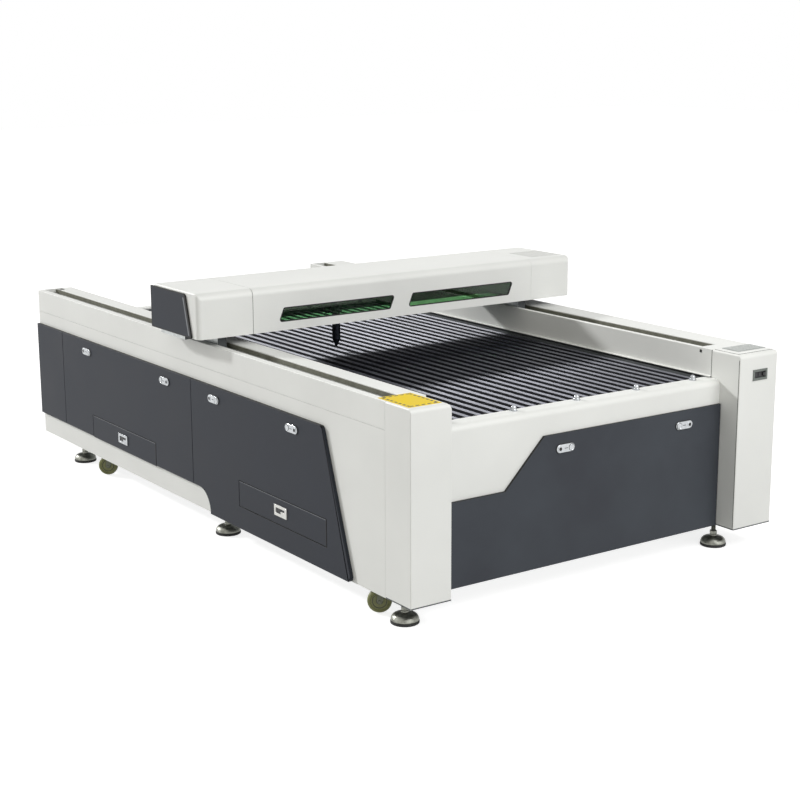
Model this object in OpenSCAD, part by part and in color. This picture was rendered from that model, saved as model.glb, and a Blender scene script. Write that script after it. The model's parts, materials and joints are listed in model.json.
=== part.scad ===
// Flatbed laser cutter: a steel frame in white sheet covers, a bed of blade slats,
// and a covered gantry that runs along both side beams and carries the cutting head.
// Inside body_frame() X runs from the left side sheet, Y from the column fronts and
// Z from the body's lower edge. The machine's own origin is the floor under its middle.

/* [Body] */
// Width over the two side sheets
body_w = 1900; // [1800:10:2200]
// Length from the column fronts to the rear plates
body_l = 3384; // [3300:4:3800]
// Height of the body above its lower edge
body_h = 758; // [740:2:820]
// Space between the floor and the body's lower edge
ground_gap = 100; // [96:1:120]
// Thickness of the white cover sheets
sheet_t = 2; // [1.5:0.5:3]
// Width of the left side housing
left_w = 186; // [180:1:220]
// Width of the right side housing
right_w = 223; // [215:1:260]
// Seam between neighbouring covers
seam = 1; // [0.5:0.5:2]

/* [Columns] */
// Depth of the two front columns
column_d = 162; // [150:1:180]
// Radius of a column's top edge over the table
column_inner_r = 26; // [15:1:35]
// Radius of the right column's top edge over the table
right_inner_r = 8; // [4:1:35]
// Radius of a column's front top edge
column_front_r = 20; // [10:1:24]
// Radius of a column's outer top edge
column_outer_r = 8; // [4:1:10]

/* [Fascias] */
// Distance of the front and rear fascias from the body's ends
fascia_setback = 110; // [105:1:125]
// Depth of the fascias' top below the body's top
fascia_drop = 120; // [110:1:130]
// Depth of the fascias' flat top
fascia_top_d = 80; // [70:1:90]
// Radius of the fascias' top outer edge
fascia_r = 28; // [15:1:35]

/* [Frame] */
// Side of the square frame tubes
tube = 60; // [50:5:70]
// Wall of the frame tubes
tube_wall = 4; // [3:0.5:6]
// Width of the two sills
sill_w = 120; // [110:5:140]
// Height of the sills above the body's lower edge
sill_z = 20; // [15:1:30]
// Height of the rail beams
rail_beam_h = 80; // [60:5:90]
// Size of the table bearers' square tube
bearer = 40; // [30:5:50]
// Clearance between a drawer and the posts beside it
post_gap = 16; // [10:1:25]

/* [Side beams] */
// Width of the left beam's outer ledge
left_ledge = 34; // [30:1:45]
// Width of the left beam's slot
left_slot = 68; // [66:1:80]
// Width of the right beam's inner ledge
right_ledge = 22; // [18:1:30]
// Width of the right beam's slot
right_slot = 78; // [70:1:90]
// Depth of both slots
slot_d = 78; // [75:1:85]
// Height of the beams' outer covers
beam_cover_h = 108; // [100:1:130]
// Height of the inner covers over the table
inner_cover_h = 116; // [110:1:122]
// Width of the lip at an inner cover's foot
lip_w = 14; // [8:1:20]

/* [Table] */
// Depth of the slats' bearers below the fascias' top
bearer_drop = 58; // [50:1:64]
// Number of blade slats
slat_count = 27; // [20:1:32]
// Height of a slat
slat_h = 45; // [38:1:46]
// Width of a slat's foot
slat_foot = 30; // [28:1:36]
// Width of a slat's top
slat_top = 24; // [12:1:26]
// Wall of a slat
slat_wall = 2; // [1.5:0.5:3]
// Thickness of the table frame's bars
table_bar_t = 6; // [4:1:10]
// Height of the table frame's bars
table_bar_h = 50; // [46:1:52]
// Number of feed balls on the front fascia
ball_count = 5; // [3:1:7]
// Distance between the feed balls
ball_pitch = 322; // [200:1:330]
// Radius of a feed ball's cup
ball_cup_r = 16; // [11:1:20]

/* [Side panels] */
// How far the dark side panels stand out
panel_d = 15; // [10:1:20]
// Thickness of the dark panels' sheet
panel_t = 2; // [1.5:0.5:3]
// Height of the side panels' top edge
panel_top = 585; // [560:1:600]
// Height of the white base strip under the rear side panels
strip_h = 105; // [90:1:110]
// Where the front side panel's foot begins
panel_foot_y = 375; // [330:1:400]
// Where the front side panel's top begins
panel_head_y = 576; // [540:1:620]
// Where the white base strip begins
strip_y = 1508; // [1450:1:1540]
// Radius of the base strip's front corner
strip_r = 100; // [60:1:104]
// Where the front and middle side panels meet
seam_front_y = 1662; // [1640:1:1700]
// Where the middle and rear side panels meet
seam_rear_y = 3062; // [3000:1:3100]
// Gap between neighbouring side panels
panel_gap = 3; // [2:1:5]
// Radius of the side panels' free corners
panel_corner_r = 20; // [10:1:30]
// Clearance of each drawer in its cut-out
drawer_gap = 3; // [2:1:5]

/* [Front panel] */
// How far the dark front panel stands out
front_panel_d = 12; // [8:1:16]
// Height of the front panel's high part
front_panel_top = 535; // [500:1:560]
// Height of the front panel's low part
front_panel_low = 343; // [300:1:400]
// Where the front panel's slope begins, from the left side
slope_x0 = 518; // [460:1:560]
// Where the front panel's slope ends, from the left side
slope_x1 = 709; // [660:1:760]
// Height of the service opening behind the front panel
service_h = 400; // [300:10:420]

/* [Latches] */
// Length of a panel latch
latch_l = 76; // [60:1:90]
// Width of a panel latch
latch_w = 28; // [20:1:34]
// How far a latch stands out of its panel
latch_t = 6; // [4:0.5:8]
// Height of the side latches
side_latch_z = 525; // [490:1:545]
// Height of the front latches
front_latch_z = 465; // [430:1:500]
// Places of the side latches, from the column fronts
side_latch_y = [829, 1478, 1944, 2795]; // [700:1:3000]
// Places of the front latches, from the left side
front_latch_x = [825, 1472]; // [760:1:1560]

/* [Drawers] */
// Width of a drawer front, along the machine
drawer_w = 692; // [600:1:700]
// Height of a drawer front
drawer_h = 110; // [106:1:116]
// Height of a drawer front's lower edge
drawer_z = 102; // [100:1:104]
// Where the front drawer begins
front_drawer_y = 551; // [540:1:580]
// Where the rear drawer begins
rear_drawer_y = 2032; // [2000:1:2060]
// Depth of a drawer's tray
drawer_depth = 640; // [500:10:900]
// Height of a drawer's tray
tray_h = 96; // [80:1:100]
// How far a drawer's pull is wide
pull_w = 96; // [60:1:110]
// Height of a drawer's pull
pull_h = 46; // [36:1:60]

/* [Feet and casters] */
// Radius of a levelling foot
foot_r = 56; // [44:1:60]
// Thickness of a levelling foot
foot_t = 12; // [8:1:16]
// Height of the dome on a levelling foot
foot_dome_h = 30; // [22:1:32]
// Radius of a foot's stem
stem_r = 10; // [8:1:14]
// Distance of the front feet from the column fronts
foot_front_y = 132; // [110:1:150]
// Distance of the middle feet from the column fronts
foot_mid_y = 1500; // [1400:1:1600]
// Distance of the rear feet from the column fronts
foot_rear_y = 3029; // [2990:1:3060]
// Radius of a caster wheel
wheel_r = 48; // [40:1:48]
// Width of a caster wheel
wheel_w = 30; // [24:1:36]
// Space between a caster wheel and the floor
wheel_lift = 1; // [0.5:0.5:2]
// Offset of a caster's axle from its kingpin
caster_trail = 22; // [18:1:24]
// Radius of a caster's axle
axle_r = 5; // [4:0.5:7]
// Radius of a caster's kingpin
kingpin_r = 8; // [6:1:10]
// Distance of the front casters from the column fronts
caster_front_y = 265; // [262:1:330]
// Distance of the right front caster from the column fronts
caster_right_y = 640; // [600:1:1200]
// Distance of the rear casters from the column fronts
caster_rear_y = 2698; // [2650:1:2800]
// Angle at which the casters stand
caster_turn = 55; // [-180:1:180]

/* [Lengthways drive] */
// Width of a lengthways guide rail
rail_w = 20; // [18:1:23]
// Height of a lengthways guide rail
rail_h = 17.5; // [15:0.5:19]
// Width of a bearing block
block_w = 44; // [42:1:46]
// Radius of the lengthways belt pulleys
y_pulley_r = 19; // [17:0.5:19.5]
// Width of the lengthways belts
y_belt_w = 15; // [10:1:16]
// Thickness of the belts
belt_t = 2; // [1.5:0.5:2.5]
// Space between a column and the front ends of its rail
rail_front_gap = 13; // [8:1:40]
// Distance of the rails' rear ends from the body's end
rail_rear_gap = 144; // [140:1:160]
// Distance of the drive pulleys' axis from the body's end
drive_setback = 94; // [80:1:96]
// Distance of the idler pulleys' axis from the column fronts
idler_setback = 120; // [80:1:130]
// Size of a lengthways motor
y_motor = 76; // [60:1:80]
// Length of a lengthways motor
y_motor_l = 72; // [60:1:76]

/* [Gantry] */
// How far the gantry reaches past the body on each side
overhang = 92; // [80:1:110]
// Space between the body's top and the gantry's cover
gantry_gap = 38; // [34:1:50]
// Height of the gantry's cover
gantry_h = 198; // [185:1:220]
// Depth of the gantry's cover
gantry_d = 424; // [405:1:450]
// Distance of the gantry's front from the column fronts, as drawn
gantry_y = 1440; // [1300:10:1500]
// Radius of the gantry cover's top edges
gantry_r = 34; // [20:1:38]
// Radius of the end covers' upright outer corners
gantry_end_r = 22; // [10:1:26]
// Length of the gantry's end covers
gantry_end_l = 269; // [240:1:280]
// Length of the gantry's right end cover
right_end_l = 246; // [240:1:280]
// How far the dark end caps stand out
cap_d = 8; // [5:1:12]
// Distance of the end caps' lower front corner behind the gantry's front
cap_setback = 53; // [28:1:70]
// Lean of the end caps' front edge
cap_lean = 50; // [30:1:60]
// Radius of the end caps' upper front corner
cap_r = 16; // [6:1:24]
// Distance of the end caps' top below the gantry's top
cap_drop = 11; // [9:1:20]
// Distance of the end caps' foot above the gantry's foot
cap_lift = 3; // [1:1:12]
// Travel of the gantry towards the columns
travel_front = 1250; // [800:10:1260]
// Travel of the gantry towards the rear
travel_rear = 1380; // [900:10:1385]
// Length of the gantry's carriage blocks, along the machine
carriage_l = 320; // [260:10:340]
// Length of the clamps that hold the lengthways belts
belt_clamp_l = 80; // [40:1:120]
// Lap of a carriage's base plate past its slot
plate_lap = 20; // [8:1:30]
// Depth of the gantry's beam
beam_d = 70; // [60:1:76]
// Height of the gantry's beam
beam_h = 100; // [95:1:110]
// Space between the beam and the gantry cover's back
beam_back = 97; // [95:1:110]

/* [Windows and vent] */
// Length of a window's lower edge
window_l = 590; // [500:1:600]
// Height of a window
window_h = 61; // [45:1:66]
// Height of the windows' lower edge above the cover's
window_z = 39; // [35:1:50]
// Slant of a window's ends
window_slant = 25; // [10:1:35]
// Radius of a window's corners
window_r = 10; // [4:1:14]
// Distance of the windows from the gantry's middle
window_offset = 51; // [40:1:80]
// Shift of the windows from the middle cover's centre, to the right
window_shift = 7; // [0:1:10]
// Thickness of the window sheet
window_t = 3; // [2:0.5:5]
// Number of vent slots
vent_count = 15; // [8:1:15]
// Pitch of the vent slots
vent_pitch = 12; // [10:1:12]
// Width of a vent slot
vent_w = 5; // [3:0.5:7]

/* [Cutting head] */
// Distance of the cutting head from the left side, as drawn
head_x = 737; // [700:1:1100]
// Radius of the lens tube
lens_r = 19; // [16:0.5:20]
// Length of the lens tube with its nozzle
lens_l = 208; // [200:1:212]
// Height of the nozzle's tip over the slats
nozzle_gap = 25; // [20:1:30]
// Length of the nozzle's cone
nozzle_l = 35; // [25:1:45]
// Radius of the nozzle's tip
nozzle_r = 5; // [3:0.5:8]
// Travel of the head towards the left
head_left = 450; // [200:10:460]
// Travel of the head towards the right
head_right = 850; // [200:10:860]
// Radius of the laser tube
laser_r = 40; // [30:1:40]
// Length of the laser tube
laser_l = 1650; // [1200:10:1700]
// Distance of the laser tube's brackets from its ends
laser_bracket_inset = 150; // [80:1:300]
// Radius of the crosswise belt pulleys
x_pulley_r = 11.5; // [9:0.5:12]
// Width of the crosswise belt
x_belt_w = 10; // [6:1:12]

/* [Services] */
// Width of the keypad
keypad_w = 166; // [140:1:170]
// Depth of the keypad
keypad_d = 96; // [80:1:110]
// Keys in a row of the keypad
key_cols = 8; // [4:1:9]
// Rows of keys on the keypad
key_rows = 4; // [2:1:5]
// Width of the caution plate
plate_w = 148; // [100:1:148]
// Length of the caution plate
plate_l = 200; // [150:1:210]
// Width of the port frame
port_w = 85; // [60:1:100]
// Height of the port frame
port_h = 47; // [36:1:60]
// Distance of the port from the right inner cover
port_inset = 78; // [40:1:110]
// Depth of the port's foot below the body's top
port_drop = 118; // [90:1:160]
// Distance between the exhaust spigots
spigot_spacing = 660; // [400:10:900]
// Height of the exhaust spigots
spigot_z = 330; // [250:5:400]
// Distance of the power inlet from the right inner cover
inlet_inset = 160; // [120:5:220]
// Height of the power inlet
inlet_z = 180; // [140:5:220]
// Radius of the exhaust spigots
spigot_r = 75; // [50:1:100]
// Length of the exhaust spigots
spigot_l = 95; // [60:1:100]

/* [Hidden] */
$fn = 48;
// Running clearance of a pin in its bore
run_fit = 0.05;
// Clearance between faces that slide past each other
slide_fit = 0.3;
eps = 0.02;

// Faces of the table well
well_x0 = left_w;
well_x1 = body_w - right_w;
fascia_y = fascia_setback;
fascia_h = body_h - fascia_drop;
rear_fascia_y = body_l - fascia_setback;

// Slots, each as [left edge, right edge]
left_slot_x = [left_ledge, left_ledge + left_slot];
right_slot_x = [well_x1 + right_ledge, well_x1 + right_ledge + right_slot];
slot_z = body_h - slot_d;
slots = [left_slot_x, right_slot_x];
function mid(range) = (range[0] + range[1]) / 2;

// Frame levels and stations
sill_top = sill_z + tube;
post_top = slot_z - rail_beam_h;
table_z = fascia_h - bearer_drop;
left_sill_x = [sheet_t, sheet_t + sill_w];
right_sill_x = [well_x1 + sheet_t + 1, well_x1 + sheet_t + 1 + sill_w];
stations = [column_d + seam + tube / 2,
    front_drawer_y - post_gap - tube / 2,
    front_drawer_y + drawer_w + post_gap + tube / 2,
    rear_drawer_y - post_gap - tube / 2,
    rear_drawer_y + drawer_w + post_gap + tube / 2,
    rear_fascia_y - sheet_t - tube / 2];
column_post_y = 40 + tube / 2;
post_x = [mid(left_slot_x), mid(right_slot_x)];
pan_t = 2;
tray_z = [drawer_z + panel_t, drawer_z + panel_t + tray_h];

// Lengthways drive
rail_off = block_w / 2 + 2;
belt_off = block_w + 4 + y_belt_w / 2;
rail_y = [column_d + rail_front_gap, body_l - rail_rear_gap];
y_axis_z = slot_z + belt_t + 2 + y_pulley_r;
y_drive_y = body_l - drive_setback;
y_idler_y = idler_setback;
y_shaft_r = 6;

latch_barrel_r = 9;

// Port and exhaust
port_wall = 6;
port_x = [well_x1 + port_inset, well_x1 + port_inset + port_w];
port_z = [body_h - port_drop, body_h - port_drop + port_h];
well_mid = (well_x0 + well_x1) / 2;
spigot_x = [well_mid - spigot_spacing / 2, well_mid + spigot_spacing / 2];

// Gantry levels
gantry_z = body_h + gantry_gap;
cover_x0 = -overhang + cap_d;
cover_x1 = body_w + overhang - cap_d;
middle_x0 = cover_x0 + gantry_end_l + seam;
middle_x1 = cover_x1 - right_end_l - seam;
window_mid = (middle_x0 + middle_x1) / 2 + window_shift;
gantry_back = gantry_y + gantry_d;
end_flange = 84;
base_plate_t = 8;
beam_z = gantry_z + base_plate_t;
beam_y = gantry_back - beam_back - beam_d;
beam_x = [cover_x0 + 24, cover_x1 - 24];
carriage_y = gantry_y + (gantry_d - carriage_l) / 2;
block_z = slot_z + 5;
block_top = slot_z + rail_h + 12;
laser_y = beam_y + beam_d + laser_r + 8;
laser_z = gantry_z + 87;

// Cutting head
x_rail_z = beam_z + 59;
x_rail_h = 15;
x_rail_d = 10;
lens_y = beam_y - 58;
table_top = table_z + slat_h;
lens_z = table_top + nozzle_gap;
x_pulley_z = beam_z + beam_h + 2 + belt_t + x_pulley_r;
x_belt_y = beam_y - 20;
x_drive_x = beam_x[1] - 30;
x_idler_x = beam_x[0] + 30;
x_motor_w = 56;

// ---------- helpers ----------

module body_frame() {
    translate([-body_w / 2, -body_l / 2, ground_gap]) children();
}

// A bar between two corners, given as one range for each axis
module bar(x, y, z) {
    translate([x[0], y[0], z[0]]) cube([x[1] - x[0], y[1] - y[0], z[1] - z[0]]);
}

// An XZ outline drawn out along Y, and a YZ outline drawn out along X
module along_y(y) {
    translate([0, y[1], 0]) rotate([90, 0, 0]) linear_extrude(y[1] - y[0]) children();
}

module along_x(x) {
    translate([x[0], 0, 0]) rotate([90, 0, 90]) linear_extrude(x[1] - x[0]) children();
}

// Square tubes along X, Y and Z
module tube_x(x, y, z) {
    difference() {
        bar(x, y, z);
        bar([x[0] - 1, x[1] + 1], [y[0] + tube_wall, y[1] - tube_wall],
            [z[0] + tube_wall, z[1] - tube_wall]);
    }
}

module tube_y(x, y, z) {
    difference() {
        bar(x, y, z);
        bar([x[0] + tube_wall, x[1] - tube_wall], [y[0] - 1, y[1] + 1],
            [z[0] + tube_wall, z[1] - tube_wall]);
    }
}

module tube_z(x, y, z) {
    difference() {
        bar(x, y, z);
        bar([x[0] + tube_wall, x[1] - tube_wall], [y[0] + tube_wall, y[1] - tube_wall],
            [z[0] - 1, z[1] + 1]);
    }
}

// A rectangle from the origin with its two top corners rounded
module top_rounded(w, h, r_left, r_right) {
    low = max(r_left, r_right);
    square([w, h - low]);
    translate([r_left, 0]) square([w - r_left - r_right, h]);
    square([r_left * 2, h - r_left]);
    translate([w - r_right * 2, 0]) square([r_right * 2, h - r_right]);
    translate([r_left, h - r_left]) circle(r_left);
    translate([w - r_right, h - r_right]) circle(r_right);
}

// A closed slot shape between two points on a line, as a belt or a latch has
module stadium(length, r) {
    translate([0, -r]) square([length, 2 * r]);
    circle(r);
    translate([length, 0]) circle(r);
}

// Points of an arc, for outlines
function arc(centre, r, from, to, n = 10) =
    [for (i = [0:n]) let (a = from + (to - from) * i / n) centre + r * [cos(a), sin(a)]];

// ---------- frame ----------

module sills() {
    color("dimgray") body_frame()
        for (side = [0, 1]) difference() {
            sill_x = side == 0 ? left_sill_x : right_sill_x;
            tube_y(sill_x, [10, body_l - 10], [sill_z, sill_top]);
            for (y = [side == 0 ? caster_front_y : caster_right_y, caster_rear_y])
                translate([caster_x(side), y, sill_z - 1])
                    cylinder(r = kingpin_r + run_fit, h = tube_wall + 2);
        }
}

module cross_tubes() {
    color("dimgray") body_frame() for (y = stations) {
        tube_x([left_sill_x[1], right_sill_x[0]], [y - tube / 2, y + tube / 2],
            [sill_z, sill_top]);
        tube_x([right_sill_x[1], body_w - sheet_t], [y - tube / 2, y + tube / 2],
            [sill_z, sill_top]);
    }
}

module posts() {
    color("dimgray") body_frame() for (x = post_x, y = concat([column_post_y], stations))
        tube_z([x - tube / 2, x + tube / 2], [y - tube / 2, y + tube / 2],
            [sill_top, post_top]);
}

module rail_beams() {
    color("dimgray") body_frame() for (slot = slots)
        tube_y([slot[0] - sheet_t, slot[1] + sheet_t], [40, body_l - 12],
            [post_top, slot_z]);
}

module table_bearers() {
    color("dimgray") body_frame() for (y = stations)
        tube_x([post_x[0] + tube / 2, post_x[1] - tube / 2],
            [y - bearer / 2, y + bearer / 2], [table_z - bearer, table_z]);
}

// The scrap pan, with two raised runners under each drawer
module floor_pan() {
    x = [post_x[0] + tube / 2 + slide_fit, post_x[1] - tube / 2 - slide_fit];
    runner_w = 20;
    color("silver") body_frame() {
        bar(x, [column_d + seam, rear_fascia_y - sheet_t], [sill_top, sill_top + pan_t]);
        for (y = [front_drawer_y, rear_drawer_y], side = [runner_w, drawer_w - 2 * runner_w])
            bar([x[0], drawer_depth + runner_w], [y + side, y + side + runner_w],
                [sill_top + pan_t - eps, tray_z[0] - slide_fit]);
    }
}

// ---------- white covers ----------

cover_y = [column_d + seam, body_l - sheet_t];

module left_beam_cover() {
    z0 = body_h - beam_cover_h;
    color("gainsboro") body_frame() along_y(cover_y) {
        translate([0, z0]) square([sheet_t, beam_cover_h]);
        translate([0, body_h - sheet_t]) square([left_slot_x[0], sheet_t]);
        translate([left_slot_x[0] - sheet_t, slot_z]) square([sheet_t, slot_d]);
    }
}

module right_beam_cover() {
    z0 = body_h - beam_cover_h;
    color("gainsboro") body_frame() difference() {
        along_y(cover_y) {
            translate([body_w - sheet_t, z0]) square([sheet_t, beam_cover_h]);
            translate([right_slot_x[1], body_h - sheet_t])
                square([body_w - right_slot_x[1], sheet_t]);
            translate([right_slot_x[1], slot_z]) square([sheet_t, slot_d]);
        }
        motor_boss_hole(right_slot_x[1]);
    }
}

module motor_boss_hole(x) {
    translate([x - 1, y_drive_y, y_axis_z]) rotate([0, 90, 0])
        cylinder(r = y_shaft_r + 6, h = sheet_t + 2);
}

module left_inner_cover() {
    color("gainsboro") body_frame() difference() {
        along_y(cover_y) {
            translate([left_slot_x[1], slot_z]) square([sheet_t, slot_d]);
            translate([left_slot_x[1], body_h - sheet_t])
                square([well_x0 - left_slot_x[1], sheet_t]);
            translate([well_x0 - sheet_t, body_h - inner_cover_h])
                square([sheet_t, inner_cover_h]);
            translate([well_x0 - sheet_t, body_h - inner_cover_h])
                square([sheet_t + lip_w, sheet_t]);
        }
        motor_boss_hole(left_slot_x[1]);
        // Service notch over the motor at the beam's rear end
        bar([left_slot_x[1] - 1, left_slot_x[1] + 27], [body_l - 62, body_l],
            [slot_z + slot_d / 2, body_h + 1]);
    }
}

module right_inner_cover() {
    color("gainsboro") body_frame() difference() {
        along_y(cover_y) {
            translate([right_slot_x[0] - sheet_t, slot_z]) square([sheet_t, slot_d]);
            translate([well_x1, body_h - sheet_t])
                square([right_ledge, sheet_t]);
            translate([well_x1, body_h - inner_cover_h]) square([sheet_t, inner_cover_h]);
            translate([well_x1 - lip_w, body_h - inner_cover_h])
                square([lip_w + sheet_t, sheet_t]);
        }
        // Small hole for the table lamp's lead
        translate([well_x1 - 1, column_d + 66, body_h - 16]) rotate([0, 90, 0])
            cylinder(r = 4, h = sheet_t + 2);
    }
}

// One side sheet at the left face, with the two drawer openings
module side_sheet(openings) {
    difference() {
        bar([0, sheet_t], cover_y, [0, body_h - beam_cover_h - seam]);
        if (openings) for (y = [front_drawer_y, rear_drawer_y])
            bar([-1, sheet_t + 1], [y - drawer_gap, y + drawer_w + drawer_gap],
                [drawer_z - drawer_gap, drawer_z + drawer_h + drawer_gap]);
    }
}

module side_sheets() {
    color("gainsboro") body_frame() {
        side_sheet(true);
        translate([body_w - sheet_t, 0, 0]) side_sheet(false);
    }
}

// A column cover's outside, or with inset its hollow
module column_form(w, r_left, r_right, inset) {
    intersection() {
        along_y([inset, column_d + inset]) translate([inset, -inset])
            top_rounded(w - 2 * inset, body_h, r_left - inset, r_right - inset);
        along_x([0, w]) translate([inset, -inset])
            top_rounded(column_d + 60, body_h, column_front_r - inset, 1);
    }
}

module column_cover(w, r_left, r_right) {
    difference() {
        column_form(w, r_left, r_right, 0);
        column_form(w, r_left, r_right, sheet_t);
    }
}

module left_column_cover() {
    color("whitesmoke") body_frame()
        column_cover(left_w, column_outer_r, column_inner_r);
}

module right_column_cover() {
    color("whitesmoke") body_frame() difference() {
        translate([well_x1, 0, 0]) column_cover(right_w, right_inner_r, column_outer_r);
        bar(port_x + [port_wall, -port_wall], [-1, sheet_t + 1],
            port_z + [port_wall, -port_wall]);
    }
}

module rear_end_plates() {
    color("gainsboro") body_frame() {
        return_y = [rear_fascia_y - sheet_t, body_l];
        return_z = [0, body_h - inner_cover_h];
        bar([0, left_w], [body_l - sheet_t, body_l], [0, body_h]);
        bar([left_w - sheet_t, left_w], return_y, return_z);
        bar([well_x1, body_w], [body_l - sheet_t, body_l], [0, body_h]);
        bar([well_x1, well_x1 + sheet_t], return_y, return_z);
    }
}

// The fascia's YZ section with its face at Y 0: a wall, a rounded top edge, a flat top
// and a turned-down back edge
module fascia_section() {
    back_drop = 38;
    difference() {
        top_rounded(fascia_top_d, fascia_h, fascia_r, 1);
        translate([sheet_t, -1])
            top_rounded(fascia_top_d - 2 * sheet_t, fascia_h - sheet_t + 1,
                fascia_r - sheet_t, 1);
        translate([sheet_t, -1])
            square([fascia_top_d, fascia_h - back_drop + 1]);
    }
}

module front_fascia() {
    color("whitesmoke") body_frame() difference() {
        translate([0, fascia_y, 0]) along_x([well_x0, well_x1]) fascia_section();
        bar([slope_x1 + 40, well_x1 - 40], [fascia_y - 1, fascia_y + sheet_t + 1],
            [sill_top + 20, sill_top + 20 + service_h]);
    }
}

module rear_fascia() {
    color("whitesmoke") body_frame() difference() {
        translate([0, rear_fascia_y, 0]) mirror([0, 1, 0])
            along_x([well_x0, well_x1]) fascia_section();
        for (x = spigot_x) translate([x, rear_fascia_y + 1, spigot_z]) rotate([90, 0, 0])
            cylinder(r = spigot_r - 2, h = sheet_t + 2);
    }
}

// ---------- dark panels ----------

// A shallow tray: its outline drawn out, and hollowed from behind by the inset outline.
// Both children are drawn in the panel's plane, the face at Z 0 and the rim above it.
module tray(depth) {
    difference() {
        linear_extrude(depth) children(0);
        translate([0, 0, panel_t]) linear_extrude(depth) children(1);
    }
}

// Front side panel in YZ: a slanted front edge and a quarter round over the base strip
module front_side_outline(inset) {
    slant = atan2(panel_top, panel_head_y - panel_foot_y);
    shift = inset / sin(slant);
    r = panel_corner_r - inset;
    foot = [panel_foot_y + shift, inset];
    head = [panel_head_y + shift - inset / tan(slant), panel_top - inset];
    foot_c = foot + r * [1 / tan(slant / 2) * 1, 1];
    head_c = head + r * [tan(slant / 2), -1];
    quarter = strip_r + inset;
    end_y = seam_front_y - panel_gap / 2 - inset;
    strip_c = [strip_y + strip_r, strip_h - strip_r];
    polygon(concat(
        arc(foot_c, r, 270, 90 + slant),
        arc(head_c, r, 90 + slant, 90),
        [[end_y, panel_top - inset], [end_y, strip_h + inset]],
        arc(strip_c, quarter, 90, 180),
        [[strip_c[0] - quarter, inset]]));
}

module middle_side_outline(inset) {
    translate([seam_front_y + panel_gap / 2 + inset, strip_h + inset])
        square([seam_rear_y - seam_front_y - panel_gap - 2 * inset,
            panel_top - strip_h - 2 * inset]);
}

module rear_side_outline(inset) {
    translate([seam_rear_y + panel_gap / 2 + inset, strip_h + inset])
        square([body_l - seam_rear_y - panel_gap / 2 - 2 * inset,
            panel_top - strip_h - 2 * inset]);
}

// The drawer's place in a panel, larger by the given margin
module drawer_outline(y, margin) {
    translate([y - margin, drawer_z - margin])
        square([drawer_w + 2 * margin, drawer_h + 2 * margin]);
}

module side_tray(part, drawers) {
    rim = drawer_gap + panel_t;
    tray(panel_d) {
        difference() {
            side_outline(part, 0);
            if (drawers) drawer_cuts(part, drawer_gap);
        }
        difference() {
            side_outline(part, panel_t);
            if (drawers) drawer_cuts(part, rim);
        }
    }
}

module side_outline(part, inset) {
    if (part == 0) front_side_outline(inset);
    if (part == 1) middle_side_outline(inset);
    if (part == 2) rear_side_outline(inset);
}

module drawer_cuts(part, margin) {
    if (part == 0) drawer_outline(front_drawer_y, margin);
    if (part == 1) drawer_outline(rear_drawer_y, margin);
}

module latch_holes() {
    for (y = side_latch_y) translate([y, side_latch_z, -1])
        cylinder(r = latch_barrel_r + run_fit, h = panel_t + 2);
}

module side_panels(drawers) {
    translate([-panel_d, 0, 0]) rotate([90, 0, 90]) difference() {
        for (part = [0:2]) side_tray(part, drawers);
        latch_holes();
    }
}

module left_side_panels() {
    color("darkslategray") body_frame() side_panels(true);
}

module right_side_panels() {
    color("darkslategray") body_frame()
        translate([body_w, 0, 0]) mirror([1, 0, 0]) side_panels(false);
}

// Front panel in XZ: low on the left, then a slope up to the high part
module front_outline(inset) {
    side_gap = 2;
    slope = atan2(front_panel_top - front_panel_low, slope_x1 - slope_x0);
    low_shift = inset * tan(slope / 2);
    high_shift = inset * tan(slope / 2);
    polygon([
        [well_x0 + side_gap + inset, inset],
        [well_x1 - side_gap - inset, inset],
        [well_x1 - side_gap - inset, front_panel_top - inset],
        [slope_x1 + high_shift, front_panel_top - inset],
        [slope_x0 + low_shift, front_panel_low - inset],
        [well_x0 + side_gap + inset, front_panel_low - inset]]);
}

module front_panel() {
    color("darkslategray") body_frame()
        translate([0, fascia_y - front_panel_d, 0]) mirror([0, 1, 0]) rotate([90, 0, 0])
            difference() {
                tray(front_panel_d) {
                    front_outline(0);
                    front_outline(panel_t);
                }
                for (x = front_latch_x) translate([x, front_latch_z, -1])
                    cylinder(r = latch_barrel_r + run_fit, h = panel_t + 2);
            }
}

// One latch with its back at Z 0, its length along X: a pill with a press button and a
// key barrel in its face, and the barrel that goes through the panel
module latch(key_end) {
    span = latch_l - latch_w;
    ring = latch_w / 2 - 4;
    difference() {
        translate([-span / 2, 0, 0]) linear_extrude(latch_t) stadium(span, latch_w / 2);
        for (end = [-1, 1]) translate([end * span / 2, 0, latch_t - 1])
            cylinder(r = ring, h = 2);
    }
    translate([-key_end * span / 2, 0, latch_t - 1 - eps]) cylinder(r = ring - 1, h = 2);
    translate([key_end * span / 2, 0, latch_t - 1 - eps]) difference() {
        cylinder(r = ring - 3, h = 1.6);
        translate([-1, -4, 0.6]) cube([2, 8, 2]);
    }
    translate([0, 0, -panel_t - 5]) cylinder(r = latch_barrel_r, h = panel_t + 5 + eps);
}

module panel_latches() {
    color("silver") body_frame() {
        for (i = [0:3]) {
            key_end = i % 2 == 0 ? 1 : -1;
            translate([-panel_d, side_latch_y[i], side_latch_z])
                rotate([90, 0, -90]) latch(key_end);
            translate([body_w + panel_d, side_latch_y[i], side_latch_z])
                rotate([90, 0, 90]) latch(-key_end);
        }
        for (i = [0, 1])
            translate([front_latch_x[i], fascia_y - front_panel_d, front_latch_z])
                rotate([90, 0, 0]) latch(i == 0 ? -1 : 1);
    }
}

// ---------- table ----------

table_x = [well_x0 + 2, well_x1 - 2];
table_y = [fascia_y + fascia_top_d + 2, rear_fascia_y - fascia_top_d - 2];

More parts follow.
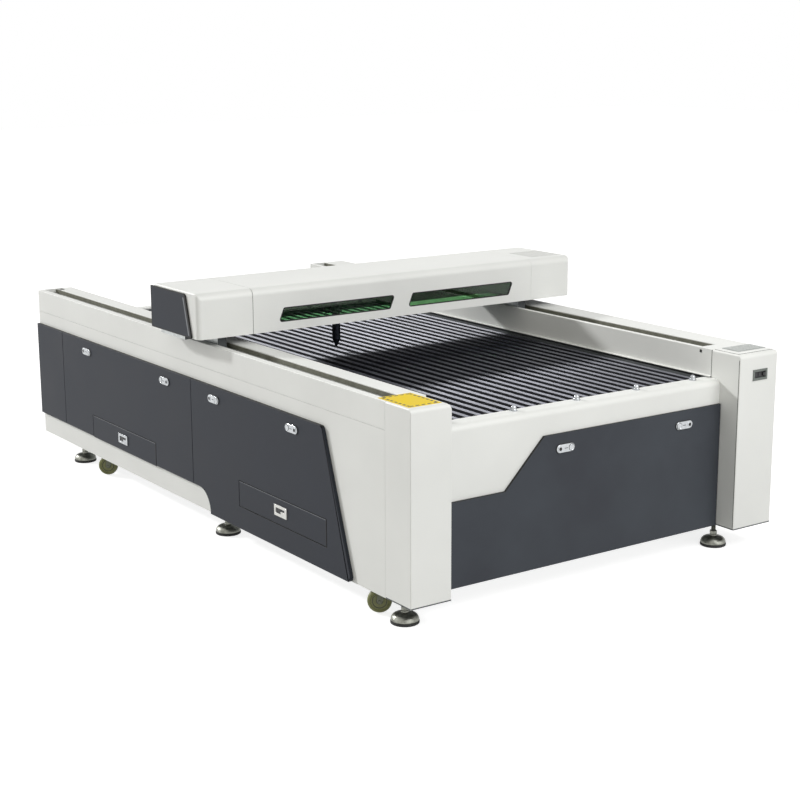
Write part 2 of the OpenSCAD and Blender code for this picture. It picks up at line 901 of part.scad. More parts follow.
module table_frame() {
    z = [table_z, table_z + table_bar_h];
    inner_y = table_y + [table_bar_t + slide_fit, -table_bar_t - slide_fit];
    color("dimgray") body_frame() {
        bar([table_x[0], table_x[0] + table_bar_t], inner_y, z);
        bar([table_x[1] - table_bar_t, table_x[1]], inner_y, z);
        bar(table_x, [table_y[0], table_y[0] + table_bar_t], z);
        bar(table_x, [table_y[1] - table_bar_t, table_y[1]], z);
    }
}

// A blade slat's section: a hollow extrusion that tapers from its foot to its flat top
module slat_section() {
    difference() {
        slat_outline(0);
        slat_outline(slat_wall);
    }
}

module slat_outline(inset) {
    foot = slat_foot / 2 - inset;
    top = slat_top / 2 - inset;
    polygon([[-foot, inset], [foot, inset], [top, slat_h - inset], [-top, slat_h - inset]]);
}

module blade_slats() {
    inner = table_x + [table_bar_t, -table_bar_t];
    pitch = (inner[1] - inner[0]) / slat_count;
    color("darkgray") body_frame() for (i = [0:slat_count - 1])
        translate([inner[0] + pitch * (i + 0.5), 0, table_z])
            along_y(table_y + [table_bar_t + slide_fit, -table_bar_t - slide_fit])
                slat_section();
}

module feed_ball_units() {
    cup_h = 8;
    ball_r = ball_cup_r - 5;
    color("silver") body_frame() for (i = [0:ball_count - 1])
        translate([well_mid + ball_pitch * (i - (ball_count - 1) / 2),
            fascia_y + fascia_top_d - ball_cup_r - 4, fascia_h]) {
            cylinder(r = ball_cup_r, h = 3);
            cylinder(r = ball_r + 2, h = cup_h);
            translate([0, 0, ball_r + 0.5]) sphere(r = ball_r);
        }
}

// ---------- drawers ----------

// Front and tray, folded from one sheet, with the drawer's lower front corner at Y 0
module drawer() {
    tray_y = [14, drawer_w - 14];
    translate([-panel_d, 0, drawer_z]) rotate([90, 0, 90]) tray(panel_d) {
        square([drawer_w, drawer_h]);
        translate([panel_t, panel_t])
            square([drawer_w - 2 * panel_t, drawer_h - 2 * panel_t]);
    }
    difference() {
        bar([-panel_d + panel_t - eps, drawer_depth], tray_y, tray_z);
        bar([-panel_d + 2 * panel_t, drawer_depth - panel_t], tray_y + [panel_t, -panel_t],
            tray_z + [panel_t, 1]);
    }
}

module front_drawer() {
    color("darkslategray") body_frame() translate([0, front_drawer_y, 0]) drawer();
}

module rear_drawer() {
    color("darkslategray") body_frame() translate([0, rear_drawer_y, 0]) drawer();
}

// A flush pull: a flat rectangular frame round a finger hollow with a catch at one end
module drawer_pull(y) {
    depth = 5;
    z = drawer_z + drawer_h / 2 + 4;
    translate([-panel_d - depth, y + drawer_w / 2, z]) difference() {
        bar([0, depth], [-pull_w / 2, pull_w / 2], [-pull_h / 2, pull_h / 2]);
        bar([-1, depth - 1], [-4, pull_w / 2 - 12], [-pull_h / 4, pull_h / 4]);
        bar([-1, depth - 1], [-pull_w / 2 + 14, 0], [0, pull_h / 4]);
    }
}

module front_drawer_pull() {
    color("white") body_frame() drawer_pull(front_drawer_y);
}

module rear_drawer_pull() {
    color("white") body_frame() drawer_pull(rear_drawer_y);
}

// ---------- services ----------

module keypad() {
    rim = 6;
    lid_t = 2;
    base_t = 2;
    x1 = body_w - column_outer_r - 1;
    y1 = column_d - rim;
    lid_x0 = well_x1 + right_inner_r + 1;
    lid_y0 = column_front_r + 1;
    cell = [(keypad_w - 2 * rim) / key_cols, (keypad_d - 2 * rim) / key_rows];
    color("gray") body_frame() translate([0, 0, body_h]) {
        translate([lid_x0, lid_y0, 0]) cube([x1 - lid_x0, y1 - lid_y0, lid_t]);
        translate([x1 - rim - keypad_w, y1 - rim - keypad_d, lid_t - eps]) {
            cube([keypad_w, keypad_d, base_t]);
            for (i = [0:key_cols - 1], j = [0:key_rows - 1])
                translate([rim + cell[0] * i + 2, rim + cell[1] * j + 2, base_t - eps])
                    cube([cell[0] - 4, cell[1] - 4, 1.2]);
        }
    }
}

module caution_plate() {
    plate_t = 1;
    color("gold") body_frame()
        translate([column_outer_r + 2, column_front_r + 4, body_h])
            cube([plate_w, plate_l, plate_t]);
}

// A port frame in the right column: a bezel, a sunk pocket and its sockets
module port_frame() {
    pocket_d = 18;
    color("black") body_frame() difference() {
        union() {
            bar(port_x, [-3, 0], port_z);
            bar(port_x + [port_wall, -port_wall], [-eps, pocket_d],
                port_z + [port_wall, -port_wall]);
        }
        bar(port_x + [port_wall + 4, -port_wall - 4], [-4, pocket_d - 2],
            port_z + [port_wall + 4, -port_wall - 4]);
    }
}

module exhaust_spigots() {
    color("silver") body_frame() for (x = spigot_x)
        translate([x, rear_fascia_y, spigot_z]) rotate([-90, 0, 0]) difference() {
            union() {
                cylinder(r = spigot_r, h = spigot_l);
                cylinder(r = spigot_r + 20, h = 3);
            }
            translate([0, 0, -1]) cylinder(r = spigot_r - 2, h = spigot_l + 2);
        }
}

module power_inlet() {
    color("black") body_frame() translate([well_x1 - inlet_inset, rear_fascia_y, inlet_z]) {
        difference() {
            bar([-45, 45], [0, 30], [-35, 35]);
            bar([-37, 9], [20, 31], [-26, 26]);
        }
        translate([26, 30 - eps, 0]) rotate([-90, 0, 0]) cylinder(r = 12, h = 14);
    }
}

// ---------- lengthways drive ----------

module y_rails() {
    color("silver") body_frame() for (slot = slots) {
        x = slot[0] + rail_off;
        bar([x - rail_w / 2, x + rail_w / 2], rail_y, [slot_z, slot_z + rail_h]);
    }
}

module y_belts() {
    inner_r = y_pulley_r + slide_fit;
    color("black") body_frame() for (slot = slots) {
        x = slot[0] + belt_off;
        translate([0, y_idler_y, y_axis_z])
            along_x([x - y_belt_w / 2, x + y_belt_w / 2]) difference() {
                stadium(y_drive_y - y_idler_y, inner_r + belt_t);
                stadium(y_drive_y - y_idler_y, inner_r);
            }
    }
}

// Both motors, behind the slots' outer walls, and the brackets of the two idlers
module y_drive_mounts() {
    lug_t = 5;
    lug_h = y_axis_z - slot_z + 12;
    half = y_belt_w / 2 + 1;
    color("black") body_frame() for (slot = slots) {
        x = slot[1] + sheet_t + slide_fit;
        bar([x, x + y_motor_l], [y_drive_y - y_motor / 2, y_drive_y + y_motor / 2],
            [y_axis_z - y_motor / 2, y_axis_z + y_motor / 2]);
        for (side = [-1, 1]) translate([slot[0] + belt_off + side * (half + lug_t / 2),
            y_idler_y, slot_z]) difference() {
            bar([-lug_t / 2, lug_t / 2], [-14, 14], [0, lug_h]);
            translate([-lug_t, 0, y_axis_z - slot_z]) rotate([0, 90, 0])
                cylinder(r = y_shaft_r + run_fit, h = 2 * lug_t);
        }
    }
}

module y_pulley() {
    rotate([0, 90, 0]) translate([0, 0, -y_belt_w / 2]) cylinder(r = y_pulley_r, h = y_belt_w);
}

module y_drive_pulleys() {
    color("silver") body_frame() for (slot = slots) {
        reach = slot[1] + sheet_t - slide_fit - slot[0] - belt_off;
        translate([slot[0] + belt_off, y_drive_y, y_axis_z]) {
            y_pulley();
            rotate([0, 90, 0]) cylinder(r = y_shaft_r, h = reach);
        }
    }
}

module y_idler_pulleys() {
    half = y_belt_w / 2 + 1 + 5;
    color("silver") body_frame() for (slot = slots)
        translate([slot[0] + belt_off, y_idler_y, y_axis_z]) {
            y_pulley();
            translate([-half, 0, 0]) rotate([0, 90, 0]) cylinder(r = y_shaft_r, h = 2 * half);
        }
}

// ---------- feet and casters ----------

foot_x = [left_sill_x[0] + 64, right_sill_x[0] + 17];

module levelling_feet() {
    nut_h = 16;
    nut_r = 16;
    shoulder_r = foot_r * 0.8;
    neck_h = 8;
    side_h = foot_dome_h * 0.75;
    color("dimgray") body_frame() for (x = foot_x, y = [foot_front_y, foot_mid_y, foot_rear_y])
        translate([x, y, -ground_gap]) {
            cylinder(r = foot_r, h = foot_t);
            translate([0, 0, foot_t - eps])
                cylinder(r1 = foot_r - 2, r2 = shoulder_r, h = side_h);
            translate([0, 0, foot_t + side_h - 2 * eps])
                cylinder(r1 = shoulder_r, r2 = stem_r + 6, h = foot_dome_h - side_h);
            translate([0, 0, foot_t + foot_dome_h + neck_h])
                cylinder(r = nut_r, h = nut_h, $fn = 6);
            cylinder(r = stem_r, h = ground_gap + sill_z);
            translate([0, 0, ground_gap + sill_z - nut_h]) cylinder(r = nut_r, h = nut_h, $fn = 6);
        }
}

function caster_x(side) = side == 0 ? left_sill_x[0] + 66 : right_sill_x[0] + 50;
caster_z = wheel_lift + wheel_r - ground_gap;

// A caster's fork at its kingpin: crown, two arms, kingpin with its nut, and the axle
module caster_fork(side, y) {
    crown_t = 6;
    crown_r = 34;
    arm_t = 4;
    arm_in = wheel_w / 2 + 1.5;
    crown_z = sill_z - slide_fit;
    translate([caster_x(side), y, 0]) rotate(caster_turn) {
        translate([0, 0, crown_z - crown_t]) cylinder(r = crown_r, h = crown_t);
        translate([0, 0, crown_z - eps]) cylinder(r = kingpin_r, h = 20);
        translate([0, 0, crown_z + tube_wall + 2 * slide_fit])
            cylinder(r = kingpin_r + 6, h = 8);
        for (end = [-1, 1]) translate([end * (arm_in + arm_t / 2), 0, 0])
            along_x([-arm_t / 2, arm_t / 2])
                polygon([[-16, crown_z - crown_t + eps], [22, crown_z - crown_t + eps],
                    [caster_trail + 11, caster_z + 4], [caster_trail + 7, caster_z - 9],
                    [caster_trail - 7, caster_z - 9], [caster_trail - 12, caster_z]]);
        translate([-arm_in - arm_t - 3, caster_trail, caster_z]) rotate([0, 90, 0])
            cylinder(r = axle_r, h = 2 * (arm_in + arm_t + 3));
    }
}

module caster_wheel(side, y) {
    translate([caster_x(side), y, 0]) rotate(caster_turn)
        translate([0, caster_trail, caster_z]) rotate([0, 90, 0]) difference() {
            union() {
                translate([0, 0, -wheel_w / 2]) cylinder(r = wheel_r - 3, h = wheel_w);
                translate([0, 0, -wheel_w / 2 + 4]) cylinder(r = wheel_r, h = wheel_w - 8);
            }
            translate([0, 0, -wheel_w]) cylinder(r = axle_r + run_fit, h = 2 * wheel_w);
        }
}

module fork_at(side, y) {
    color("dimgray") body_frame() caster_fork(side, y);
}

module wheel_at(side, y) {
    color("olive") body_frame() caster_wheel(side, y);
}

// ---------- gantry ----------

// The cover's YZ section, or with inset the hollow inside its sheet
module gantry_section(inset) {
    translate([gantry_y + inset, gantry_z - inset])
        top_rounded(gantry_d - 2 * inset, gantry_h, gantry_r - inset, gantry_r - inset);
}

module gantry_shell(x) {
    along_x(x) difference() {
        gantry_section(0);
        gantry_section(sheet_t);
    }
}

window_x = [window_mid - window_offset - window_l - window_slant / 2,
    window_mid + window_offset - window_slant / 2];

// A window's XZ outline with leaning ends and round corners, grown by the given margin
module window_outline(margin) {
    lean = atan2(window_slant, window_h);
    sharp = window_r * (1 / cos(lean) + tan(lean));
    blunt = window_r * (1 / cos(lean) - tan(lean));
    top = window_h - window_r;
    r = window_r + margin;
    translate([0, gantry_z + window_z]) polygon(concat(
        arc([window_l - blunt, window_r], r, 270, 360 - lean, 4),
        arc([window_l + window_slant - sharp, top], r, -lean, 90, 6),
        arc([window_slant + blunt, top], r, 90, 180 - lean, 4),
        arc([sharp, window_r], r, 180 - lean, 270, 6)));
}

module gantry_cover() {
    x = [middle_x0, middle_x1];
    color("whitesmoke") body_frame() difference() {
        gantry_shell(x);
        for (wx = window_x) translate([wx, 0, 0])
            along_y([gantry_y - 1, gantry_y + sheet_t + 1]) window_outline(0);
    }
}

module cover_windows() {
    color("seagreen") body_frame() for (wx = window_x) translate([wx, 0, 0])
        along_y([gantry_y + sheet_t, gantry_y + sheet_t + window_t]) window_outline(8);
}

// An end cover's outside, or with inset its hollow, with two upright corners rounded
module end_form(inset, length) {
    depth = gantry_d - 2 * inset;
    r = gantry_end_r - inset;
    intersection() {
        along_x([cover_x0 + inset, cover_x0 + length + inset]) gantry_section(inset);
        translate([cover_x0 + inset, gantry_y + inset, gantry_z - sheet_t])
            linear_extrude(gantry_h + sheet_t) {
                translate([r, 0]) square([length, depth]);
                translate([0, r]) square([length, depth - 2 * r]);
                for (y = [r, depth - r]) translate([r, y]) circle(r);
            }
    }
}

// One end cover from the left, with an opening in its end wall that the cap closes
module end_cover(length) {
    difference() {
        end_form(0, length);
        end_form(sheet_t, length);
        bar([cover_x0 - 1, cover_x0 + sheet_t + 1],
            [gantry_y + end_flange, gantry_back - end_flange],
            [gantry_z - 1, gantry_z + gantry_h - end_flange]);
    }
}

module vent_slots() {
    length = 190;
    x0 = cover_x1 - 20 - (vent_count - 1) * vent_pitch - vent_w;
    for (i = [0:vent_count - 1])
        bar([x0 + i * vent_pitch, x0 + i * vent_pitch + vent_w],
            [gantry_y + gantry_r + 20, gantry_y + gantry_r + 20 + length],
            [gantry_z + gantry_h - sheet_t - 1, gantry_z + gantry_h + 1]);
}

module gantry_end_covers() {
    color("whitesmoke") body_frame() {
        end_cover(gantry_end_l);
        difference() {
            translate([body_w, 0, 0]) mirror([1, 0, 0]) end_cover(right_end_l);
            vent_slots();
        }
    }
}

// One dark end cap over the left end: a tray with a leaning front edge
module cap_outline(inset) {
    top = gantry_z + gantry_h - cap_drop;
    low = gantry_z + cap_lift;
    front = gantry_y + cap_setback;
    lean = atan2(cap_lean, top - low);
    polygon(concat(
        [[front + inset * (tan(lean) + 1 / cos(lean)), low + inset],
            [gantry_back - inset, low + inset], [gantry_back - inset, top - inset]],
        arc([front + (top - cap_r - low) * tan(lean) + cap_r / cos(lean), top - cap_r],
            cap_r - inset, 90, 180 - lean, 6)));
}

module end_cap() {
    translate([-overhang, 0, 0]) rotate([90, 0, 90]) tray(cap_d) {
        cap_outline(0);
        cap_outline(panel_t);
    }
}

module gantry_end_caps() {
    color("darkslategray") body_frame() {
        end_cap();
        translate([body_w, 0, 0]) mirror([1, 0, 0]) end_cap();
    }
}

// Both carriages: bearing blocks, a riser out of the slot, and a base plate
module gantry_carriages() {
    groove = rail_w / 2 + slide_fit;
    block_l = 77;
    wing_t = 15;
    y = [carriage_y, carriage_y + carriage_l];
    plate_y = [gantry_y + gantry_end_r, gantry_back - gantry_end_r];
    color("silver") body_frame() for (i = [0, 1]) {
        x = slots[i][0] + rail_off;
        plate_x = i == 0 ? [cover_x0 + sheet_t, left_slot_x[1] + plate_lap] :
            [right_slot_x[0] - plate_lap, cover_x1 - sheet_t];
        difference() {
            union() {
                for (y0 = [y[0], y[1] - block_l])
                    bar([x - block_w / 2, x + block_w / 2], [y0, y0 + block_l],
                        [block_z, block_top]);
                bar([x - block_w / 2, x + block_w / 2], y, [block_top - eps, gantry_z]);
                bar(plate_x, plate_y, [gantry_z - eps, gantry_z + base_plate_t]);
                bar(plate_x, [y[0] + 76, y[1] - 19], [gantry_z - wing_t, gantry_z]);
            }
            bar([x - groove, x + groove], [y[0] - 1, y[1] + 1],
                [slot_z - 1, slot_z + rail_h + slide_fit]);
        }
        // Belt clamp, over the belt's upper run
        bar([x + block_w / 2 - eps, x + block_w / 2 + y_belt_w + 4],
            [mid(y) - belt_clamp_l / 2, mid(y) + belt_clamp_l / 2],
            [y_axis_z + y_pulley_r + belt_t + 2 * slide_fit,
                y_axis_z + y_pulley_r + belt_t + 12]);
    }
}

// The beam, its two laser tube brackets and the idler's block with its pin
module gantry_beam() {
    z = [beam_z, beam_z + beam_h];
    bracket_t = 12;
    color("gray") body_frame() {
        tube_x(beam_x, [beam_y, beam_y + beam_d], z);
        for (end = [-1, 1]) {
            x = body_w / 2 + end * (laser_l / 2 - laser_bracket_inset);
            difference() {
                bar([x - bracket_t / 2, x + bracket_t / 2],
                    [beam_y + beam_d - eps, laser_y + laser_r + 5],
                    [beam_z, laser_z + laser_r + 6]);
                translate([x - bracket_t, laser_y, laser_z]) rotate([0, 90, 0])
                    cylinder(r = laser_r + slide_fit, h = 2 * bracket_t);
            }
        }
        bar([x_idler_x - 15, x_idler_x + 15], [beam_y, beam_y + 30],
            [z[1] - eps, x_pulley_z + 12]);
        translate([x_idler_x, beam_y + eps, x_pulley_z]) rotate([90, 0, 0])
            cylinder(r = 4, h = 28);
    }
}

module laser_tube() {
    color("lightcyan") body_frame()
        translate([(body_w - laser_l) / 2, laser_y, laser_z]) rotate([0, 90, 0]) {
            cylinder(r = laser_r, h = laser_l);
            translate([0, 0, -30]) cylinder(r = laser_r / 3, h = laser_l + 60);
        }
}

module x_rail() {
    color("silver") body_frame()
        bar(beam_x + [20, -20], [beam_y - x_rail_d, beam_y],
            [x_rail_z - x_rail_h / 2, x_rail_z + x_rail_h / 2]);
}

module x_belt() {
    inner_r = x_pulley_r + slide_fit;
    color("black") body_frame() translate([x_idler_x, 0, x_pulley_z])
        along_y([x_belt_y - x_belt_w / 2, x_belt_y + x_belt_w / 2]) difference() {
            stadium(x_drive_x - x_idler_x, inner_r + belt_t);
            stadium(x_drive_x - x_idler_x, inner_r);
        }
}

module x_motor() {
    color("black") body_frame()
        bar([x_drive_x - x_motor_w / 2, x_drive_x + x_motor_w / 2], [beam_y, beam_y + beam_d],
            [beam_z + beam_h, beam_z + beam_h + x_motor_w]);
}

module x_drive_pulley() {
    color("silver") body_frame() translate([x_drive_x, 0, x_pulley_z]) rotate([90, 0, 0]) {
        translate([0, 0, -x_belt_y - x_belt_w / 2]) cylinder(r = x_pulley_r, h = x_belt_w);
        translate([0, 0, -beam_y + slide_fit])
            cylinder(r = 4, h = beam_y - slide_fit - x_belt_y);
    }
}

module x_idler_pulley() {
    color("silver") body_frame() translate([x_idler_x, 0, x_pulley_z]) rotate([90, 0, 0])
        translate([0, 0, -x_belt_y - x_belt_w / 2]) difference() {
            cylinder(r = x_pulley_r, h = x_belt_w);
            translate([0, 0, -1]) cylinder(r = 4 + run_fit, h = x_belt_w + 2);
        }
}

// ---------- cutting head ----------

sleeve_z = [gantry_z + 12, gantry_z + 66];

module head_carriage() {
    groove = x_rail_h / 2 + slide_fit;
    plate_y = [beam_y - x_rail_d - 28, beam_y - x_rail_d - 20];
    belt_low = x_pulley_z - x_pulley_r - slide_fit - belt_t;
    color("dimgray") body_frame() {
        difference() {
            union() {
                bar([head_x - 35, head_x + 35], [plate_y[1] - eps, beam_y - 3],
                    [x_rail_z - 21, x_rail_z + 21]);
                bar([head_x - 45, head_x + 45], plate_y, [sleeve_z[0] - 4, beam_z + beam_h + 39]);
                translate([head_x, lens_y, sleeve_z[0]])
                    cylinder(r = lens_r + 6, h = sleeve_z[1] - sleeve_z[0]);
                bar([head_x - 12, head_x + 12], [lens_y, plate_y[0] + eps], sleeve_z);
                // Mirror housing over the lens tube
                bar([head_x - 26, head_x + 26], [lens_y - 24, plate_y[0] + eps],
                    [beam_z + beam_h - 4, beam_z + beam_h + 39]);
            }
            bar([head_x - 60, head_x + 60], [beam_y - x_rail_d - slide_fit, beam_y],
                [x_rail_z - groove, x_rail_z + groove]);
            translate([head_x, lens_y, sleeve_z[0] - 10])
                cylinder(r = lens_r + run_fit, h = sleeve_z[1] - sleeve_z[0] + 20);
            translate([head_x, lens_y, beam_z + beam_h - 6]) cylinder(r = 12, h = 30);
        }
        // Belt clamp, just under the belt's lower run
        bar([head_x - 20, head_x + 20], [plate_y[1] - eps, x_belt_y + x_belt_w / 2],
            [x_rail_z + 21 - eps, belt_low - slide_fit]);
    }
}

module lens_tube() {
    bore_r = lens_r - 5;
    color("darkslateblue") body_frame() translate([head_x, lens_y, lens_z]) difference() {
        union() {
            cylinder(r1 = nozzle_r, r2 = lens_r, h = nozzle_l);
            translate([0, 0, nozzle_l - eps]) cylinder(r = lens_r, h = lens_l - nozzle_l);
        }
        translate([0, 0, -1]) cylinder(r = 1.5, h = nozzle_l);
        translate([0, 0, nozzle_l]) cylinder(r = bore_r, h = lens_l);
    }
}

sills();
cross_tubes();
posts();
rail_beams();
table_bearers();
floor_pan();
left_beam_cover();
right_beam_cover();
left_inner_cover();
right_inner_cover();
side_sheets();
left_column_cover();
right_column_cover();
rear_end_plates();
front_fascia();
rear_fascia();
front_panel();
left_side_panels();
right_side_panels();
table_frame();
blade_slats();
feed_ball_units();
panel_latches();
keypad();
caution_plate();
port_frame();
exhaust_spigots();
power_inlet();
y_rails();
y_belts();
y_drive_mounts();
levelling_feet();
y_drive_pulleys();
y_idler_pulleys();
fork_at(0, caster_front_y);  // front_left_caster_fork
wheel_at(0, caster_front_y);  // front_left_caster_wheel
fork_at(1, caster_right_y);  // front_right_caster_fork
wheel_at(1, caster_right_y);  // front_right_caster_wheel
fork_at(0, caster_rear_y);  // rear_left_caster_fork
wheel_at(0, caster_rear_y);  // rear_left_caster_wheel
fork_at(1, caster_rear_y);  // rear_right_caster_fork
wheel_at(1, caster_rear_y);  // rear_right_caster_wheel
front_drawer();
rear_drawer();
front_drawer_pull();
rear_drawer_pull();
gantry_carriages();
gantry_beam();
gantry_cover();
gantry_end_covers();
gantry_end_caps();
cover_windows();
laser_tube();
x_rail();
x_belt();
x_motor();
x_drive_pulley();
x_idler_pulley();
head_carriage();
lens_tube();
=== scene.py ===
"""Looks for a flatbed laser cutter: white sheet covers, dark side panels, a bed of slats
and a covered gantry with tinted windows. Sizes are in millimetres from the body's left
front lower corner and are turned to metres in the frame's own axes."""
import json
import math

import bmesh
import bpy
from mathutils import Euler, Matrix, Vector

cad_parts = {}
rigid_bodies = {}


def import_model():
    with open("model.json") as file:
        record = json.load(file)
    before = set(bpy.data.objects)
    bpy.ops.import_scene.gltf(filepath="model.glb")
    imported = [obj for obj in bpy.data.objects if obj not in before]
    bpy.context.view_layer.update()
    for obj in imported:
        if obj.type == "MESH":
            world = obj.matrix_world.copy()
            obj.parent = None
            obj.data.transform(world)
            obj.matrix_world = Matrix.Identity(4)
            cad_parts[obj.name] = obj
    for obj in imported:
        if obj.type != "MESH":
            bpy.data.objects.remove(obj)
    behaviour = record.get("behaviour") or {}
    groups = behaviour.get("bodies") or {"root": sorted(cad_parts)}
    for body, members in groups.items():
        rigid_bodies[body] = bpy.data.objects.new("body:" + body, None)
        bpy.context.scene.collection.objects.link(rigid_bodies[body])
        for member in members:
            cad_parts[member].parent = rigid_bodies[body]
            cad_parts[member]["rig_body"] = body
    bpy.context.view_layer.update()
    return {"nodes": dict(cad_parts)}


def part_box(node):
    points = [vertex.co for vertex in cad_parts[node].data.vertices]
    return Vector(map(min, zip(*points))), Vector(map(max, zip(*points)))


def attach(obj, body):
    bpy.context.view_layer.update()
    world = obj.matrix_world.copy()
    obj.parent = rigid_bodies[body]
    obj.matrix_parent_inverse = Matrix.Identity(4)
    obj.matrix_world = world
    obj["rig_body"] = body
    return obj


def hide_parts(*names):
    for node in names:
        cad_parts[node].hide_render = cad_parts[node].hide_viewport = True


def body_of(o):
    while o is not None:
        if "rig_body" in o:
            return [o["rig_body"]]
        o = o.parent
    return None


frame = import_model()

MM = 0.001
SCENE = bpy.context.scene
NODES = frame["nodes"]


# ---------- places ----------

def low(name):
    """A part's lowest corner in body millimetres."""
    return (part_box(name)[0] - ORIGIN) / MM


def high(name):
    """A part's highest corner in body millimetres."""
    return (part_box(name)[1] - ORIGIN) / MM


# The body's own corner: left sheet, column fronts and the columns' lower edge
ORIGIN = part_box("left_column_cover")[0].copy()


def at(x, y, z):
    """A point given in body millimetres, in the frame's metres."""
    return ORIGIN + Vector((x, y, z)) * MM


# ---------- materials ----------

def srgb(code):
    """A colour written as a hex string, as linear red, green, blue and alpha."""
    parts = [int(code[i:i + 2], 16) / 255 for i in (0, 2, 4)]
    return tuple(c / 12.92 if c <= 0.04045 else ((c + 0.055) / 1.055) ** 2.4 for c in parts) + (1,)


def add(tree, kind, inputs=None, stops=None, **settings):
    """Adds one shader node, with its settings, its inputs' values or links and its ramp."""
    made = tree.nodes.new("ShaderNode" + kind)
    for key, value in settings.items():
        setattr(made, key, value)
    for key, value in (inputs or {}).items():
        if isinstance(value, bpy.types.NodeSocket):
            tree.links.new(value, made.inputs[key])
        else:
            made.inputs[key].default_value = value
    if stops:
        ramp = made.color_ramp.elements
        while len(ramp) < len(stops):
            ramp.new(1)
        for element, (place, colour) in zip(ramp, stops):
            element.position = place
            element.color = srgb(colour)
    return made


def finish(name, **inputs):
    """A material with one principled shader, and its node tree."""
    made = bpy.data.materials.new(name)
    made.use_nodes = True
    tree = made.node_tree
    tree.nodes.clear()
    shader = add(tree, "BsdfPrincipled", inputs)
    add(tree, "OutputMaterial", {"Surface": shader.outputs[0]})
    return made, tree, shader


# The middle of a noise's range, where nearly all of its values lie
BAND = (0.3, 0.7)


def per_mm(size):
    """A pattern's scale, in repeats a metre, from the size of one repeat in millimetres."""
    return 1000 / size


def surface(name, tones, patch, grain, depth, rough, stretch=(1, 1, 1), **inputs):
    """A finish whose tone and gloss drift over patches and whose skin has a fine grain. Patch,
    grain and depth are in millimetres, rough is the least and the most roughness, and a
    stretch below 1 draws the grain out along that axis."""
    made, tree, shader = finish(name, **inputs)
    place = add(tree, "TexCoord").outputs["Object"]
    drift = add(tree, "TexNoise", {"Vector": place, "Scale": per_mm(patch), "Detail": 3})
    tone = add(tree, "ValToRGB", {"Fac": drift.outputs[0]}, list(zip(BAND, tones)))
    gloss = add(tree, "MapRange", {"Value": drift.outputs[0], "From Min": BAND[0],
        "From Max": BAND[1], "To Min": rough[0], "To Max": rough[1]})
    along = add(tree, "Mapping", {"Vector": place, "Scale": stretch})
    skin = add(tree, "TexNoise", {"Vector": along.outputs[0], "Scale": per_mm(grain)})
    relief = add(tree, "Bump", {"Height": skin.outputs[0], "Distance": depth * MM})
    tree.links.new(tone.outputs[0], shader.inputs["Base Color"])
    tree.links.new(gloss.outputs[0], shader.inputs["Roughness"])
    tree.links.new(relief.outputs[0], shader.inputs["Normal"])
    return made


# Powder coat baked on steel sheet: an even white skin with a slight orange peel. The peel is
# under 1 mm in life and is drawn at 5 mm so that it shows
WHITE = surface("white_powder_coat", ("E1E2DF", "E8E9E6"), 420, 5, 0.03, (0.36, 0.44))
# Textured powder coat: dark blue grey with a dry, sanded skin that spreads its gloss. The grains
# are under 1 mm in life and are drawn at 4 mm so that they show
DARK = surface("dark_textured_powder_coat", ("3B3E44", "43474D"), 300, 4, 0.12, (0.46, 0.56),
    **{"Specular IOR Level": 0.14})
# The same coat on the side panels, drawers and end caps, a tone darker: painted shade on these
# parts that face sideways
DARK_SHADED_SIDE = surface("dark_textured_powder_coat_painted_shade", ("2D3037", "35383F"), 300, 4, 0.12,
    (0.46, 0.56), **{"Specular IOR Level": 0.14})
# Primer on the welded frame: flat grey with a sprayed coat's ripple, which takes no shine
PRIMER = surface("grey_frame_primer", ("4A4E50", "585C5E"), 90, 6, 0.1, (0.6, 0.75))
# Hard anodised extrusion on the slats' sides: near black, darker and duller than the tops, painted
# shade in the gaps between slats
SLAT = surface("black_anodised_slat_side_painted_shade", ("101116", "181920"), 160, 1.5, 0.02, (0.5, 0.6),
    stretch=(1, 0.01, 1), **{"Specular IOR Level": 0.2})
# The same slat's top: a tone lighter than its sides, painted light on the tops, and a cold gloss
# that spreads across the die lines, so each slat shines along its whole length
SLAT_TOP = surface("black_anodised_slat_top_painted_light", ("191B22", "24262F"), 160, 1.5, 0.02, (0.4, 0.48),
    stretch=(1, 0.01, 1), IOR=2.05, Anisotropic=1.0, **{"Specular Tint": srgb("F0F2FF")})


def scuff(made, reach, patch, extra):
    """Turns a finish's gloss along the body and spreads it by extra, in streaks. The scuffing
    is full at reach's first place across the body and gone at its second, in millimetres."""
    tree = made.node_tree
    shader = tree.nodes["Principled BSDF"]
    twist = add(tree, "Tangent", axis="Y", direction_type="RADIAL")
    tree.links.new(twist.outputs[0], shader.inputs["Tangent"])
    place = add(tree, "TexCoord").outputs["Object"]
    along = add(tree, "SeparateXYZ", {"Vector": place})
    rubbed = add(tree, "MapRange", {"Value": along.outputs["X"], "From Min": reach[0] * MM,
        "From Max": reach[1] * MM, "To Min": 1.0, "To Max": 0.0})
    squeezed = add(tree, "Mapping", {"Vector": place, "Scale": (1, 0.12, 1)})
    streak = add(tree, "TexNoise", {"Vector": squeezed.outputs[0], "Scale": per_mm(patch),
        "Detail": 3})
    broken = add(tree, "MapRange", {"Value": streak.outputs[0], "From Min": 0.25,
        "From Max": 0.75, "To Min": extra[0], "To Max": extra[1]})
    added = add(tree, "Math", {0: rubbed.outputs[0], 1: broken.outputs[0]}, operation="MULTIPLY")
    plain = shader.inputs["Roughness"].links[0].from_socket
    spread = add(tree, "Math", {0: plain, 1: added.outputs[0]}, operation="ADD")
    tree.links.new(spread.outputs[0], shader.inputs["Roughness"])


# Sheets slid on from the left have scuffed the slats there
scuff(SLAT_TOP, (-740, 600), 60, (0.24, 0.34))
# Ground steel: bright, with fine grinding lines across the rail
GROUND = surface("ground_steel", ("B4B6B8", "CBCDCE"), 60, 0.8, 0.01, (0.22, 0.34),
    stretch=(0.05, 1, 1), Metallic=1)
